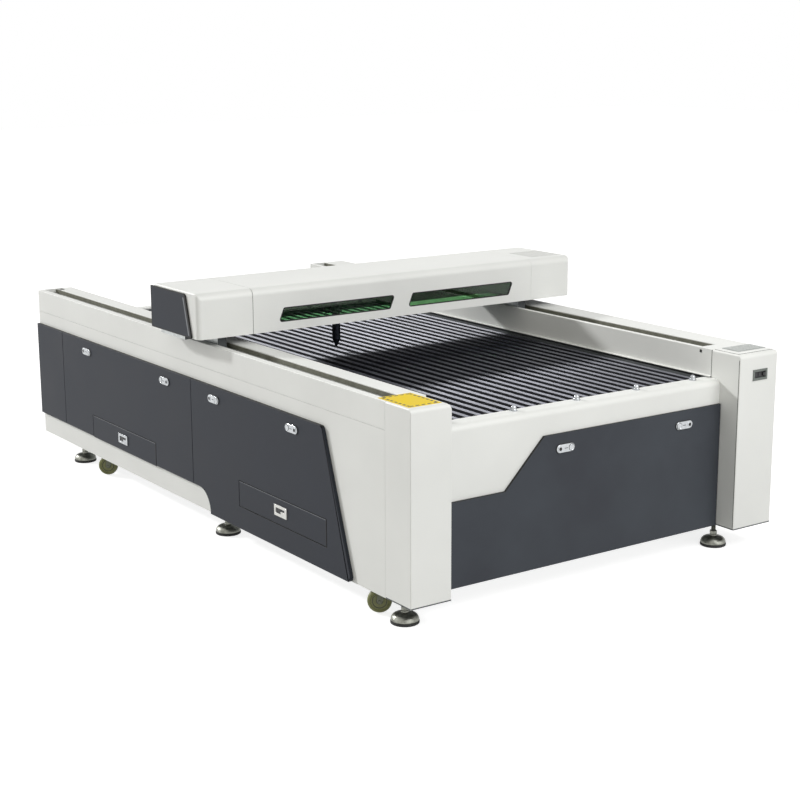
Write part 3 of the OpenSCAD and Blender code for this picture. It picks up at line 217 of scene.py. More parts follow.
# Polished chrome plate: mirror bright, its gloss only broken by faint smears
CHROME = surface("polished_chrome_plate", ("ABAEB1", "C2C5C8"), 25, 8, 0.004, (0.12, 0.24),
    Metallic=1)
# Zinc plated sheet: pale grey metal with clouded patches of spangle
ZINC = surface("zinc_plated_sheet", ("9FA3A3", "C0C3C2"), 28, 3, 0.015, (0.3, 0.46), Metallic=1)
# Moulded neoprene belt: black, soft and matt, with a dusty bloom
RUBBER = surface("moulded_neoprene", ("121212", "1E1E1D"), 40, 1.2, 0.04, (0.65, 0.8))
# Moulded nylon housing: black with a fine spark grain, drawn at 1 mm, and a low gloss
HOUSING = surface("black_grained_nylon", ("17181A", "222326"), 60, 1, 0.05, (0.42, 0.52))
# Moulded ABS: mid grey and matt, as the keypad is
GREY_ABS = surface("grey_moulded_abs", ("9A9D9C", "A6A9A8"), 60, 1.5, 0.03, (0.4, 0.5))
# Silicone keys: a paler grey than their plate, with a soft bloom
PALE_KEYS = surface("pale_silicone_keys", ("B4B7B5", "C0C3C1"), 30, 2, 0.02, (0.5, 0.6))
# Moulded gloss ABS: a white that is a little warmer than the sheets
WHITE_ABS = surface("white_gloss_abs", ("E4E4E1", "EEEEEB"), 50, 6, 0.01, (0.18, 0.26))
# Stoved enamel on a thin plate: a full yellow with a soft gloss, so that it keeps its colour
YELLOW = surface("yellow_stoved_enamel", ("DEC000", "E4C606"), 70, 5, 0.01, (0.45, 0.55), IOR=1.3)
# Cast polyurethane tread: olive and waxy, with a soft gloss
TYRE = surface("olive_cast_polyurethane", ("74774A", "878A5C"), 30, 2, 0.05, (0.4, 0.5))
# Cast iron wheel centre: dark, pitted and dull, a tone browner than the rubber
IRON = surface("dark_cast_iron", ("2C2D23", "3A3B2F"), 20, 1.5, 0.15, (0.5, 0.62))
# Zinc on a pressed fork, painted a dark grey green for the shade under the body
SHADED_ZINC = surface("zinc_pressing_painted_shade", ("55584A", "6A6D5E"), 24, 3, 0.03, (0.4, 0.54),
    Metallic=0.5)
# Wool felt strip: a dark olive nap with no shine
FELT = surface("olive_wool_felt", ("6A6A5E", "828276"), 35, 2, 0.4, (0.85, 0.95))
# Satin anodised grey, a little brighter than the dark panels, for strips that paint highlights on
# edges and folds
HIGHLIGHT_GREY = surface("satin_grey_painted_highlight", ("6B6E72", "7A7D81"), 80, 2, 0.02, (0.4, 0.5),
    Metallic=0.4)
# Moulded ABS socket frame: grey green, with a spark grain
SOCKET = surface("grey_green_socket_abs", ("5F6561", "6F7571"), 40, 1.2, 0.04, (0.42, 0.52))
# Blued steel: deep blue black with an oily gloss
BLUED = surface("blued_steel", ("14161E", "232733"), 14, 0.8, 0.01, (0.26, 0.36),
    stretch=(1, 1, 0.1), Metallic=0.7)
# Plated steel pressing that has dulled: dark warm grey, with streaks of brighter metal
CAST = surface("dulled_plated_steel", ("72736C", "9A9B93"), 18, 5, 0.6, (0.3, 0.44),
    stretch=(0.5, 0.5, 2), Metallic=0.95)


def clear(name, tones, rough, ior):
    """A clear sheet or tube: its body tint drifts a little, and faint wipe marks blur it."""
    made, tree, shader = finish(name, IOR=ior, **{"Transmission Weight": 1.0})
    place = add(tree, "TexCoord").outputs["Object"]
    wipe = add(tree, "TexNoise", {"Vector": place, "Scale": per_mm(45), "Detail": 2})
    body = add(tree, "ValToRGB", {"Fac": wipe.outputs[0]}, list(zip(BAND, tones)))
    blur = add(tree, "MapRange", {"Value": wipe.outputs[0], "To Min": 0.0, "To Max": rough})
    tree.links.new(body.outputs[0], shader.inputs["Base Color"])
    tree.links.new(blur.outputs[0], shader.inputs["Roughness"])
    return made


# Cast acrylic sheet in laser green: dark, glossy and clear enough to show the slats
ACRYLIC = clear("green_cast_acrylic", ("62A868", "6FB574"), 0.06, 1.49)
# Blown borosilicate tube: water clear with a bright rim
TUBE_GLASS = clear("borosilicate_glass", ("EAF3F4", "F6FAFA"), 0.02, 1.47)


# ---------- pieces ----------

def even_out(made, keep_sharp=False):
    """Weights a piece's normals by its faces, so that a flat face shades flat beside a fold."""
    even = made.modifiers.new("even", "WEIGHTED_NORMAL")
    even.keep_sharp = keep_sharp
    even.weight = 100


def piece(name, mesh, material, body):
    """A finished mesh as an object that rides on a body and takes a named finish."""
    made = bpy.data.objects.new(name, mesh)
    SCENE.collection.objects.link(made)
    mesh.materials.clear()
    mesh.materials.append(material)
    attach(made, body)
    return made


def breadth(face):
    """A face's narrow dimension, which for a strip of sheet edge is the sheet's thickness."""
    return 2 * face.calc_area() / face.calc_perimeter()


# How far an edge turns, in degrees: below FLAT its faces are one, and above FOLD it is a fold in
# the sheet. Above ROUNDED a drawn form's edge is rounded, and above CRISP its shading breaks
FLAT, FOLD, ROUNDED, CRISP = 0.4, 26, 35, 40
# How many faces round a fold, and how many a cover's wide roll
FOLD_STEPS, ROLL_STEPS = 3, 10


def softened(name, material, fold=2.0, hem=0.5, narrow=5):
    """A part with its folds and cut edges rounded, as the press and the coating leave them.
    Fold and hem are the two radii and narrow is the breadth of a cut edge, in millimetres."""
    source = NODES[name]
    skin = bmesh.new()
    skin.from_mesh(source.data)
    bmesh.ops.remove_doubles(skin, verts=skin.verts[:], dist=1e-6)
    bmesh.ops.dissolve_limit(skin, angle_limit=math.radians(FLAT), verts=skin.verts[:],
        edges=skin.edges[:])
    weight = skin.edges.layers.float.new("bevel_weight_edge")
    for edge in skin.edges:
        if len(edge.link_faces) == 2 and edge.calc_face_angle() > math.radians(FOLD):
            wide = all(breadth(face) > narrow * MM for face in edge.link_faces)
            edge[weight] = 1 if wide else hem / fold
    for face in skin.faces:
        face.smooth = True
    mesh = bpy.data.meshes.new(name + "_soft")
    skin.to_mesh(mesh)
    skin.free()
    made = piece(name + "_soft", mesh, material, body_of(source)[0])
    round_off = made.modifiers.new("folds", "BEVEL")
    round_off.limit_method = "WEIGHT"
    round_off.width = fold * MM
    round_off.segments = FOLD_STEPS
    round_off.use_clamp_overlap = False
    round_off.loop_slide = False
    even_out(made)
    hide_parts(name)
    return made


def two_tone(made, material, chosen):
    """Gives a second material to the faces whose normal is chosen."""
    made.data.materials.append(material)
    for face in made.data.polygons:
        face.material_index = int(chosen(face.normal))


def upward(normal):
    """Whether a face looks up more than sideways."""
    return normal.z > 0.7


# ---------- forms ----------

# From body millimetres to the frame's metres
TO_FRAME = Matrix.Translation(ORIGIN) @ Matrix.Scale(MM, 4)


def shift(x, y, z):
    """A place in body millimetres."""
    return Matrix.Translation((x, y, z))


def rider(name):
    """The body that a part belongs to."""
    return body_of(NODES[name])[0]


def facing(x, y, z, axis, turn=0):
    """A place whose own Z points along an axis such as "-X", and whose X runs along the body."""
    turns = {"+Z": Euler((0, 0, 0)), "-X": Euler((math.pi / 2, 0, -math.pi / 2)),
        "+X": Euler((math.pi / 2, 0, math.pi / 2)), "-Y": Euler((math.pi / 2, 0, 0)),
        "+Y": Euler((math.pi / 2, 0, math.pi)), "-Z": Euler((math.pi, 0, 0))}
    return (Matrix.Translation((x, y, z)) @ turns[axis].to_matrix().to_4x4()
        @ Matrix.Rotation(turn, 4, "Z"))


def walls(skin, rings):
    """Joins each ring of corners to the next with four-sided faces."""
    for below, above in zip(rings, rings[1:]):
        for i in range(len(below)):
            k = (i + 1) % len(below)
            skin.faces.new((below[i], below[k], above[k], above[i]))


def turned(skin, profile, steps=40, centre=(0, 0)):
    """Adds a turned form round Z. Its profile is rows of radius and height."""
    rings = []
    for radius, height in profile:
        rings.append([skin.verts.new((centre[0] + radius * math.cos(math.tau * i / steps),
            centre[1] + radius * math.sin(math.tau * i / steps), height)) for i in range(steps)])
    walls(skin, rings)
    for ring in (rings[0][::-1], rings[-1]):
        skin.faces.new(ring)


def upright(x, y, height):
    """A corner of a form whose outline lies flat."""
    return (x, y, height)


def drawn(skin, outline, z, hole=None, corner=upright):
    """Adds a flat form with an outline between two heights, and a hole as many-sided. Corner
    says where a point of the outline lies at a height."""
    loops = [outline, hole] if hole else [outline]
    edges = [[[skin.verts.new(corner(*point, height)) for point in loop] for height in z]
        for loop in loops]
    for pair in edges:
        walls(skin, pair)
    for ends in zip(*edges):
        if hole:
            walls(skin, ends)
        else:
            skin.faces.new(ends[0])


def block(skin, x, y, z):
    """Adds a rectangular block between two corners, one range for each axis."""
    drawn(skin, [(x[0], y[0]), (x[1], y[0]), (x[1], y[1]), (x[0], y[1])], z)


def corner_arc(x, y, radius, start, end, steps=6):
    """Points on an arc, its angles in degrees."""
    angles = [math.radians(start + (end - start) * i / steps) for i in range(steps + 1)]
    return [(x + radius * math.cos(a), y + radius * math.sin(a)) for a in angles]


def rounded(middle, width, height, radius):
    """A rectangle's outline round its middle, with round corners."""
    x, y = width / 2 - radius, height / 2 - radius
    return [point for i, (across, along) in enumerate(((x, -y), (x, y), (-x, y), (-x, -y)))
        for point in corner_arc(middle[0] + across, middle[1] + along, radius, 90 * i - 90, 90 * i)]


def formed(name, build, material, body, places=None, fold=0.0, replaced=()):
    """A form drawn by build in its own millimetres, once for each place in the body."""
    single = bmesh.new()
    build(single)
    bmesh.ops.remove_doubles(single, verts=single.verts[:], dist=1e-3)
    bmesh.ops.dissolve_degenerate(single, edges=single.edges[:], dist=1e-4)
    bmesh.ops.recalc_face_normals(single, faces=single.faces[:])
    shape = bpy.data.meshes.new(name)
    single.to_mesh(shape)
    single.free()
    whole = bmesh.new()
    for place in places or (Matrix(),):
        first = len(whole.verts)
        whole.from_mesh(shape)
        whole.verts.ensure_lookup_table()
        bmesh.ops.transform(whole, matrix=TO_FRAME @ place, verts=whole.verts[first:])
    for face in whole.faces:
        face.smooth = True
    whole.to_mesh(shape)
    whole.free()
    shape.set_sharp_from_angle(angle=math.radians(CRISP))
    made = piece(name, shape, material, body)
    if fold:
        round_off = made.modifiers.new("folds", "BEVEL")
        round_off.limit_method = "ANGLE"
        round_off.angle_limit = math.radians(ROUNDED)
        round_off.segments = FOLD_STEPS
        round_off.width = fold * MM
    even_out(made, not fold)
    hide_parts(*replaced)
    return made


# The covers' sheet
SHEET = 2.0


def cover(name, lowest, highest, radii, openings):
    """A folded cover: a box with its own radius on each edge, some sides left open, and the
    sheet's thickness inside. Radii are keyed by the two sides that meet, such as "-x-y"."""
    # Corners are numbered by adding 1 for the right, 2 for the rear and 4 for the top
    sides = {"-x": (0, 4, 6, 2), "+x": (1, 3, 7, 5), "-y": (0, 1, 5, 4), "+y": (2, 6, 7, 3),
        "-z": (0, 2, 3, 1), "+z": (4, 5, 7, 6)}
    skin = bmesh.new()
    corners = [skin.verts.new(at(*((highest if n & 2 ** axis else lowest)[axis]
        for axis in range(3)))) for n in range(8)]
    faces = {key: skin.faces.new([corners[n] for n in loop]) for key, loop in sides.items()
        if key not in openings}
    widest = max(radii.values())
    weight = skin.edges.layers.float.new("bevel_weight_edge")
    for keys, radius in radii.items():
        pair = {faces[keys[:2]], faces[keys[2:]]}
        for edge in skin.edges:
            if set(edge.link_faces) == pair:
                edge[weight] = radius / widest
    bmesh.ops.recalc_face_normals(skin, faces=skin.faces[:])
    for face in skin.faces:
        face.smooth = True
    mesh = bpy.data.meshes.new(name)
    skin.to_mesh(mesh)
    skin.free()
    made = bpy.data.objects.new(name, mesh)
    SCENE.collection.objects.link(made)
    round_off = made.modifiers.new("folds", "BEVEL")
    round_off.limit_method = "WEIGHT"
    round_off.width = widest * MM
    round_off.segments = ROLL_STEPS
    wall = made.modifiers.new("sheet", "SOLIDIFY")
    wall.thickness = SHEET * MM
    wall.offset = -1
    return baked(made)


def baked(made):
    """Turns a piece's modifiers into its mesh."""
    bpy.context.view_layer.update()
    solid = bpy.data.meshes.new_from_object(
        made.evaluated_get(bpy.context.evaluated_depsgraph_get()))
    made.modifiers.clear()
    made.data = solid
    return made


def cut_out(made, build, place=None):
    """Cuts a form drawn in body millimetres out of a piece."""
    single = bmesh.new()
    build(single)
    bmesh.ops.recalc_face_normals(single, faces=single.faces[:])
    bmesh.ops.transform(single, matrix=TO_FRAME @ (place or Matrix()), verts=single.verts[:])
    mesh = bpy.data.meshes.new("cutter")
    single.to_mesh(mesh)
    single.free()
    cutter = bpy.data.objects.new("cutter", mesh)
    SCENE.collection.objects.link(cutter)
    cut = made.modifiers.new("cut", "BOOLEAN")
    cut.object = cutter
    cut.solver = "EXACT"
    baked(made)
    bpy.data.objects.remove(cutter)


def settle(made, material, slot, body, *replaced):
    """Gives a cover its finish, its body and the parts that it stands for."""
    made.data.set_sharp_from_angle(angle=math.radians(ROUNDED))
    even_out(made, True)
    made.data.materials.clear()
    made.data.materials.append(material)
    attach(made, body)
    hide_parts(*replaced)


# ---------- white covers ----------

SHEETS = ("left_beam_cover", "right_beam_cover", "left_inner_cover", "right_inner_cover",
    "side_sheets", "front_fascia", "rear_fascia")
for name in SHEETS:
    softened(name, WHITE)

PORT = (low("port_frame"), high("port_frame"))
PORT_RIM = 6
# A cutter's reach to both sides of a sheet
THROUGH = (-20, 20)


def port_hole(skin):
    """The hole in the right column behind the port's frame."""
    block(skin, (PORT[0].x + PORT_RIM, PORT[1].x - PORT_RIM), THROUGH,
        (PORT[0].z + PORT_RIM, PORT[1].z - PORT_RIM))


# Columns: sharp upright folds, a wide roll over the table side and over the front
for name, inner, outer, roll in (("left_column_cover", "+x", "-x", 26),
        ("right_column_cover", "-x", "+x", 8)):
    radii = {"-y+z": 20, inner + "+z": roll, outer + "+z": 8, inner + "-y": 4, outer + "-y": 4}
    made = cover(name + "_folded", low(name), high(name), radii, ("-z", "+y"))
    if name == "right_column_cover":
        cut_out(made, port_hole)
    settle(made, WHITE, "white_enamel", rider(name), name)

REAR = (low("rear_end_plates"), high("rear_end_plates"))
WELL_X = (low("rear_fascia").x, high("rear_fascia").x)


def rear_plates(skin):
    """The beams' rear ends: a plate across each, and its return beside the rear rail."""
    inside = REAR[1].y - SHEET
    for outer, inner, turn in ((REAR[0].x, WELL_X[0], -SHEET), (REAR[1].x, WELL_X[1], SHEET)):
        block(skin, sorted((outer, inner)), (inside, REAR[1].y), (0, REAR[1].z))
        block(skin, sorted((inner, inner + turn)), (REAR[0].y, inside),
            (0, low("left_inner_cover").z))


formed("rear_plates", rear_plates, WHITE, rider("rear_end_plates"), None, 0.5,
    ("rear_end_plates",))

# Gantry: one long middle cover with two windows, and an end cover at each side
GANTRY_LOW, GANTRY_HIGH = low("gantry_cover"), high("gantry_cover")
ENDS_LOW, ENDS_HIGH = low("gantry_end_covers"), high("gantry_end_covers")
SEAM = 2.4
# Offset is half the gap between the windows, and shift moves both from the gantry's middle
WINDOW = {"length": 590, "height": 61, "slant": 25, "radius": 10, "foot": 39, "offset": 51,
    "shift": 7}
MIDDLE = (GANTRY_LOW.x + GANTRY_HIGH.x) / 2 + WINDOW["shift"]
WINDOW_X = (MIDDLE - WINDOW["offset"] - WINDOW["length"] - WINDOW["slant"] / 2,
    MIDDLE + WINDOW["offset"] - WINDOW["slant"] / 2)


def window_outline(grown=0.0):
    """A window's outline with leaning ends, from its own lower left corner."""
    lean = math.atan2(WINDOW["slant"], WINDOW["height"])
    r = WINDOW["radius"]
    sharp = r * (1 / math.cos(lean) + math.tan(lean))
    blunt = r * (1 / math.cos(lean) - math.tan(lean))
    top, tilt = WINDOW["height"] - r, math.degrees(lean)
    right, slant = WINDOW["length"], WINDOW["slant"]
    return (corner_arc(right - blunt, r, r + grown, -90, -tilt)
        + corner_arc(right + slant - sharp, top, r + grown, -tilt, 90)
        + corner_arc(slant + blunt, top, r + grown, 90, 180 - tilt)
        + corner_arc(sharp, r, r + grown, 180 - tilt, 270))


window_places = [facing(x, GANTRY_LOW.y, GANTRY_LOW.z + WINDOW["foot"], "-Y") for x in WINDOW_X]
ROOF_ROLL = 34
VENTS = {"count": 15, "pitch": 12, "width": 5, "edge": 20, "from": 54, "to": 244}
made = cover("gantry_cover_folded", GANTRY_LOW, GANTRY_HIGH,
    {"-y+z": ROOF_ROLL, "+y+z": ROOF_ROLL}, ("-z", "-x", "+x"))
for place in window_places:
    cut_out(made, lambda skin: drawn(skin, window_outline(), THROUGH), place)
settle(made, WHITE, "white_enamel", rider("gantry_cover"), "gantry_cover")


def vent_slots(skin):
    """The row of vent slots through the right end cover's top."""
    for i in range(VENTS["count"]):
        x = ENDS_HIGH.x - VENTS["edge"] - VENTS["width"] - i * VENTS["pitch"]
        block(skin, (x, x + VENTS["width"]), (ENDS_LOW.y + VENTS["from"],
            ENDS_LOW.y + VENTS["to"]), (ENDS_HIGH.z - 8, ENDS_HIGH.z + 4))


for side, x, inner, outer in (("left", (ENDS_LOW.x, GANTRY_LOW.x - SEAM), "+x", "-x"),
        ("right", (GANTRY_HIGH.x + SEAM / 3, ENDS_HIGH.x), "-x", "+x")):
    radii = {"-y+z": ROOF_ROLL, "+y+z": ROOF_ROLL, "-y" + outer: 22, "+y" + outer: 22,
        "+z" + outer: 9}
    made = cover(side + "_end_cover_folded", (x[0], ENDS_LOW.y, ENDS_LOW.z),
        (x[1], ENDS_HIGH.y, ENDS_HIGH.z), radii, ("-z", inner))
    if side == "right":
        cut_out(made, vent_slots)
    replaced = ("gantry_end_covers",) if side == "left" else ()
    settle(made, WHITE, "white_enamel", rider("gantry_cover"), *replaced)

# ---------- dark panels ----------

# Their faces that look up, the upper edges and the drawers' floors among them, take the black
# rubber material and are darker than the coat
for name in ("front_panel", "left_side_panels", "right_side_panels", "front_drawer",
        "rear_drawer"):
    # The side panels and drawers take the darker copy of the coat, painted shade
    coat = DARK if name == "front_panel" else DARK_SHADED_SIDE
    two_tone(softened(name, coat, fold=1.5), RUBBER, upward)


# A latch's half length between its end circles' centres, and their radius
LATCH_REACH, LATCH_RADIUS = 29, 17


def pill(grown=0.0):
    """A latch's outline: two half circles joined by straight sides."""
    r = LATCH_RADIUS + grown
    return corner_arc(LATCH_REACH, 0, r, -90, 90, 16) + corner_arc(-LATCH_REACH, 0, r, 90, 270, 16)


def latch_plate(skin):
    """A pill shaped flush latch."""
    drawn(skin, pill(), (0, 6))


def latch_button(skin):
    """The press button in its ring at one end, and the key barrel's face at the other."""
    turned(skin, [(0, 5), (13, 5), (13, 7.2), (12.4, 7.8), (11.4, 7.2), (11, 6.4), (5, 6.1),
        (0, 6)], 32, (LATCH_REACH, 0))
    turned(skin, [(0, 5), (11, 5), (11, 7), (10.2, 7.5), (0, 7.5)], 32, (-LATCH_REACH, 0))


def latch_key(skin):
    """The key barrel's recess and the groove round the button as dark inlays, painted shade in the
    recess and the groove, and the key's slot.
    """
    turned(skin, [(0, 7.4), (7.2, 7.4), (7.2, 7.8), (0, 7.8)], 24, (-LATCH_REACH, 0))
    drawn(skin, corner_arc(LATCH_REACH, 0, 14.6, 0, 350, 35), (5.9, 6.3),
        corner_arc(LATCH_REACH, 0, 13, 0, 350, 35))
    block(skin, (-7, 9), (-1.2, 1.2), (5.8, 6.3))


def latch_gasket(skin):
    """The dark gasket that a latch is clamped on, a thin line round its plate."""
    drawn(skin, pill(1.8), (-0.5, 1.2))


# Setback is how far back the leaning front edge starts, and margin what the cap leaves free of
# the gantry's height, below and above
CAPS = {"setback": 53, "lean": 50, "radius": 16, "margin": (3, 11), "depth": 7.6}
GANTRY_HEIGHT = GANTRY_HIGH.z - GANTRY_LOW.z


def cap_outline(inset):
    """An end cap's outline along the body and upwards, from the gantry's lower front corner."""
    foot, top = CAPS["margin"][0], GANTRY_HEIGHT - CAPS["margin"][1]
    lean = math.atan2(CAPS["lean"], top - foot)
    r = CAPS["radius"]
    back = GANTRY_HIGH.y - GANTRY_LOW.y
    centre = (CAPS["setback"] + (top - r - foot) * math.tan(lean) + r / math.cos(lean), top - r)
    front = (CAPS["setback"] + inset * (math.tan(lean) + 1 / math.cos(lean)), foot + inset)
    return [front, (back - inset, foot + inset), (back - inset, top - inset)] + corner_arc(
        *centre, r - inset, 90, 180 - math.degrees(lean), 8)


def cap_corner(y, z, x):
    """A corner of a form on a cap: a point of its outline, at a place across the body."""
    return (x, GANTRY_LOW.y + y, GANTRY_LOW.z + z)


def end_cap(skin, edge, outward):
    """A shallow tray: face, a small rounding round it, and its rim."""
    rings = []
    for inset, depth in ((0, 0), (0, 6), (0.25, 6.8), (0.8, 7.35), (1.6, CAPS["depth"])):
        rings.append([skin.verts.new(cap_corner(*point, edge + outward * depth))
            for point in cap_outline(inset)])
    walls(skin, rings)
    skin.faces.new(rings[-1])
    skin.faces.new(rings[0])


CAP_RIDER = rider("gantry_end_caps")
# Both caps take the darker copy of the dark coat, painted shade
formed("left_end_cap", lambda skin: end_cap(skin, ENDS_LOW.x, -1), DARK_SHADED_SIDE,
    CAP_RIDER, None, 0, ("gantry_end_caps",))
formed("right_end_cap", lambda skin: end_cap(skin, ENDS_HIGH.x, 1), DARK_SHADED_SIDE,
    CAP_RIDER)


def on_caps(skin, outline, nearest, farthest, hole=None):
    """Adds a form to both caps, between two distances from the end covers."""
    for x in ((ENDS_LOW.x - farthest, ENDS_LOW.x - nearest),
            (ENDS_HIGH.x + nearest, ENDS_HIGH.x + farthest)):
        drawn(skin, outline, x, hole, cap_corner)


def cap_seal(skin):
    """A dark edge seal round both caps, widest down their leaning front edge."""
    narrow, widened = 4, 5
    inner = cap_outline(narrow)
    # The leaning edge runs from the outline's first corner to the arc after its third
    for k in (0, *range(3, len(inner))):
        inner[k] = (inner[k][0] + widened, inner[k][1])
    on_caps(skin, cap_outline(-0.3), 0.2, CAPS["depth"] + 0.3, inner)


def cap_highlight_strip(skin):
    """A narrow bright strip just behind the leaning front edge of both caps, a painted highlight of
    a fold.
    """
    foot, top = CAPS["margin"][0] + 8, GANTRY_HEIGHT - CAPS["margin"][1] - 16
    lean = CAPS["lean"] / (GANTRY_HEIGHT - sum(CAPS["margin"]))
    front, back = [[(CAPS["setback"] + away + (z - CAPS["margin"][0]) * lean, z)
        for z in (foot, top)] for away in (13, 22)]
    on_caps(skin, front + back[::-1], CAPS["depth"] - 0.6, CAPS["depth"] + 0.25)


formed("cap_seals", cap_seal, RUBBER, CAP_RIDER)
formed("cap_highlight_strips", cap_highlight_strip, HIGHLIGHT_GREY, CAP_RIDER)


def cover_gap_shades(skin):
    """Dark strips behind the seams between the middle cover and the two end covers, painted shade
    in the gaps.
    """
    thick, roll = 2, ROOF_ROLL - 1
    y, z = (GANTRY_LOW.y + 2.2, GANTRY_HIGH.y - 2.2), (GANTRY_LOW.z + 2, GANTRY_HIGH.z - 2.2)
    for x in ((GANTRY_LOW.x - 5, GANTRY_LOW.x + 4), (GANTRY_HIGH.x - 4, GANTRY_HIGH.x + 5)):
        block(skin, x, (y[0], y[0] + thick), (z[0], z[1] - roll))
        block(skin, x, (y[1] - thick, y[1]), (z[0], z[1] - roll))
        block(skin, x, (y[0] + roll, y[1] - roll), (z[1] - thick, z[1]))


formed("cover_gap_shades", cover_gap_shades, RUBBER, rider("gantry_cover"))

# The latches lie a little nearer the front and higher than the solids that they stand for
SIDE_LATCH_Y, SIDE_LATCH_Z = (799, 1448, 1914, 2762), 530
FRONT_LATCH_X, FRONT_LATCH_Z = (814, 1460), 474
latch_places = []
for i, y in enumerate(SIDE_LATCH_Y):
    half = 0 if i % 2 else math.pi
    latch_places.append(facing(low("left_side_panels").x, y, SIDE_LATCH_Z, "-X", half))
    latch_places.append(facing(high("right_side_panels").x, y, SIDE_LATCH_Z, "+X",
        math.pi - half))
for x, half in zip(FRONT_LATCH_X, (0, math.pi)):
    latch_places.append(facing(x, low("front_panel").y, FRONT_LATCH_Z, "-Y", half))
LATCH_RIDER = rider("panel_latches")
formed("latch_plates", latch_plate, CHROME, LATCH_RIDER, latch_places, 2.0,
    ("panel_latches",))
formed("latch_buttons", latch_button, CHROME, LATCH_RIDER, latch_places)
formed("latch_key_slots", latch_key, RUBBER, LATCH_RIDER, latch_places)
formed("latch_gaskets", latch_gasket, RUBBER, LATCH_RIDER, latch_places)

for corner in ("front", "rear"):
    name = corner + "_drawer_pull"
    softened(name, WHITE_ABS if corner == "front" else CHROME, fold=1.0, narrow=2)
    depth = (low(name).x + 3.4, low(name).x + 3.9)
    middle = (low(name) + high(name)) / 2

    def hollow(skin, depth=depth, middle=middle):
        """A dark plate in a pull's finger hollow, behind its stepped lip, painted shade in the
        hollow.
        """
        reach = 11.5
        block(skin, depth, (middle.y - 4, middle.y + 36), (middle.z - reach, middle.z + reach))
        block(skin, depth, (middle.y - 34, middle.y), (middle.z, middle.z + reach))

    formed(corner + "_pull_hollow", hollow, HOUSING, rider(name))

for corner in ("front", "rear"):
    box = (low(corner + "_drawer"), high(corner + "_drawer"))
    face = (box[0].x - 0.3, box[0].x + 1)

    def drawer_edge_highlight(skin, box=box, face=face):
        """A bright strip along a drawer front's upper edge, a painted highlight."""
        block(skin, face, (box[0].y + 4, box[1].y - 4), (box[1].z - 2, box[1].z))

    def drawer_gap_shadow(skin, box=box, face=face):
        """A dark strip at a drawer's forward end, painted shadow in the gap."""
        block(skin, face, (box[0].y, box[0].y + 3.5), (box[0].z, box[1].z))

    formed(corner + "_drawer_edge_highlight", drawer_edge_highlight, HIGHLIGHT_GREY, rider(corner + "_drawer"))
    formed(corner + "_drawer_gap_shadow", drawer_gap_shadow, RUBBER, rider(corner + "_drawer"))

# ---------- table ----------

# Two copies of the anodising: lighter tops, and darker sides as painted shade between the slats
two_tone(softened("blade_slats", SLAT, fold=1.0, narrow=1), SLAT_TOP, upward)


def feed_ball(skin):
    """A ball in its pressed cup: flange, rolled lip and the ball standing out of it."""
    turned(skin, [(0, 0), (FLANGE_R, 0), (FLANGE_R, 2), (15.2, 2.8), (13.4, 3), (13, 6.6),
        (12, 8.2), (10.8, 8.4), (10.4, 7.4)])
    turned(skin, corner_arc(0, 11.5, 11, -20, 90, 10))


BALL, BALL_COUNT, FLANGE_R = (low("feed_ball_units"), high("feed_ball_units")), 5, 16
ball_y = (BALL[0].y + BALL[1].y) / 2
ball_pitch = (BALL[1].x - BALL[0].x - 2 * FLANGE_R) / (BALL_COUNT - 1)
formed("feed_balls", feed_ball, CHROME, rider("feed_ball_units"),
    [shift(BALL[0].x + FLANGE_R + i * ball_pitch, ball_y, BALL[0].z) for i in range(BALL_COUNT)],
    0, ("feed_ball_units",))

# ---------- column tops ----------

PAD = (low("keypad"), high("keypad"))
PAD_SIZE, PAD_RIM, KEYS, KEY_GAP = (166, 96), 6, (8, 4), 4
# The wide bar's first column, its row and how many keys it is as wide as
BAR = (5, 3, 3)
PAD_CORNER = (PAD[1].x - PAD_RIM - PAD_SIZE[0], PAD[1].y - PAD_RIM - PAD_SIZE[1])


def key_block(skin, place, wide):
    """One rounded key, or a bar as wide as several, in its place in the grid."""
    cell = [(PAD_SIZE[i] - 2 * PAD_RIM) / KEYS[i] for i in (0, 1)]
    middle = (PAD_CORNER[0] + PAD_RIM + cell[0] * (place[0] + wide / 2),
        PAD_CORNER[1] + PAD_RIM + cell[1] * (place[1] + 0.5))
    drawn(skin, rounded(middle, cell[0] * wide - KEY_GAP, cell[1] - KEY_GAP, 2.5),
        (PAD[0].z + 3.9, PAD[0].z + 5.1))


def keys(skin):
    """The keypad's keys, one in each cell but where the wide bar is."""
    for i in range(KEYS[0]):
        for j in range(KEYS[1] - (i >= BAR[0])):
            key_block(skin, (i, j), 1)
    key_block(skin, BAR[:2], BAR[2])


def column_lid(skin):
    """The column's screwed lid, a plate with small round corners."""
    size, middle = PAD[1] - PAD[0], (PAD[0] + PAD[1]) / 2
    drawn(skin, rounded(middle, size.x - 1, size.y - 1, 4), (PAD[0].z + 0.7, PAD[0].z + 2))


def lid_shadow(skin):
    """A dark strip under the lid, which shows as a thin line round it, painted shadow under the
    raised lid.
    """
    block(skin, (PAD[0].x, PAD[1].x), (PAD[0].y, PAD[1].y), (PAD[0].z, PAD[0].z + 0.9))


def keypad_base(skin):
    """The keypad's grey plate."""
    middle = [PAD_CORNER[i] + PAD_SIZE[i] / 2 for i in (0, 1)]
    drawn(skin, rounded(middle, *PAD_SIZE, 4), (PAD[0].z + 1.9, PAD[0].z + 4))


PAD_RIDER = rider("keypad")
formed("keypad_base", keypad_base, GREY_ABS, PAD_RIDER, None, 0.7, ("keypad",))
formed("keypad_keys", keys, PALE_KEYS, PAD_RIDER, None, 0.5)
formed("column_lid", column_lid, WHITE, PAD_RIDER, None, 0.5)
formed("column_lid_shadow", lid_shadow, RUBBER, PAD_RIDER)

PLATE = (low("caution_plate"), high("caution_plate"))
softened("caution_plate", YELLOW, fold=0.4)


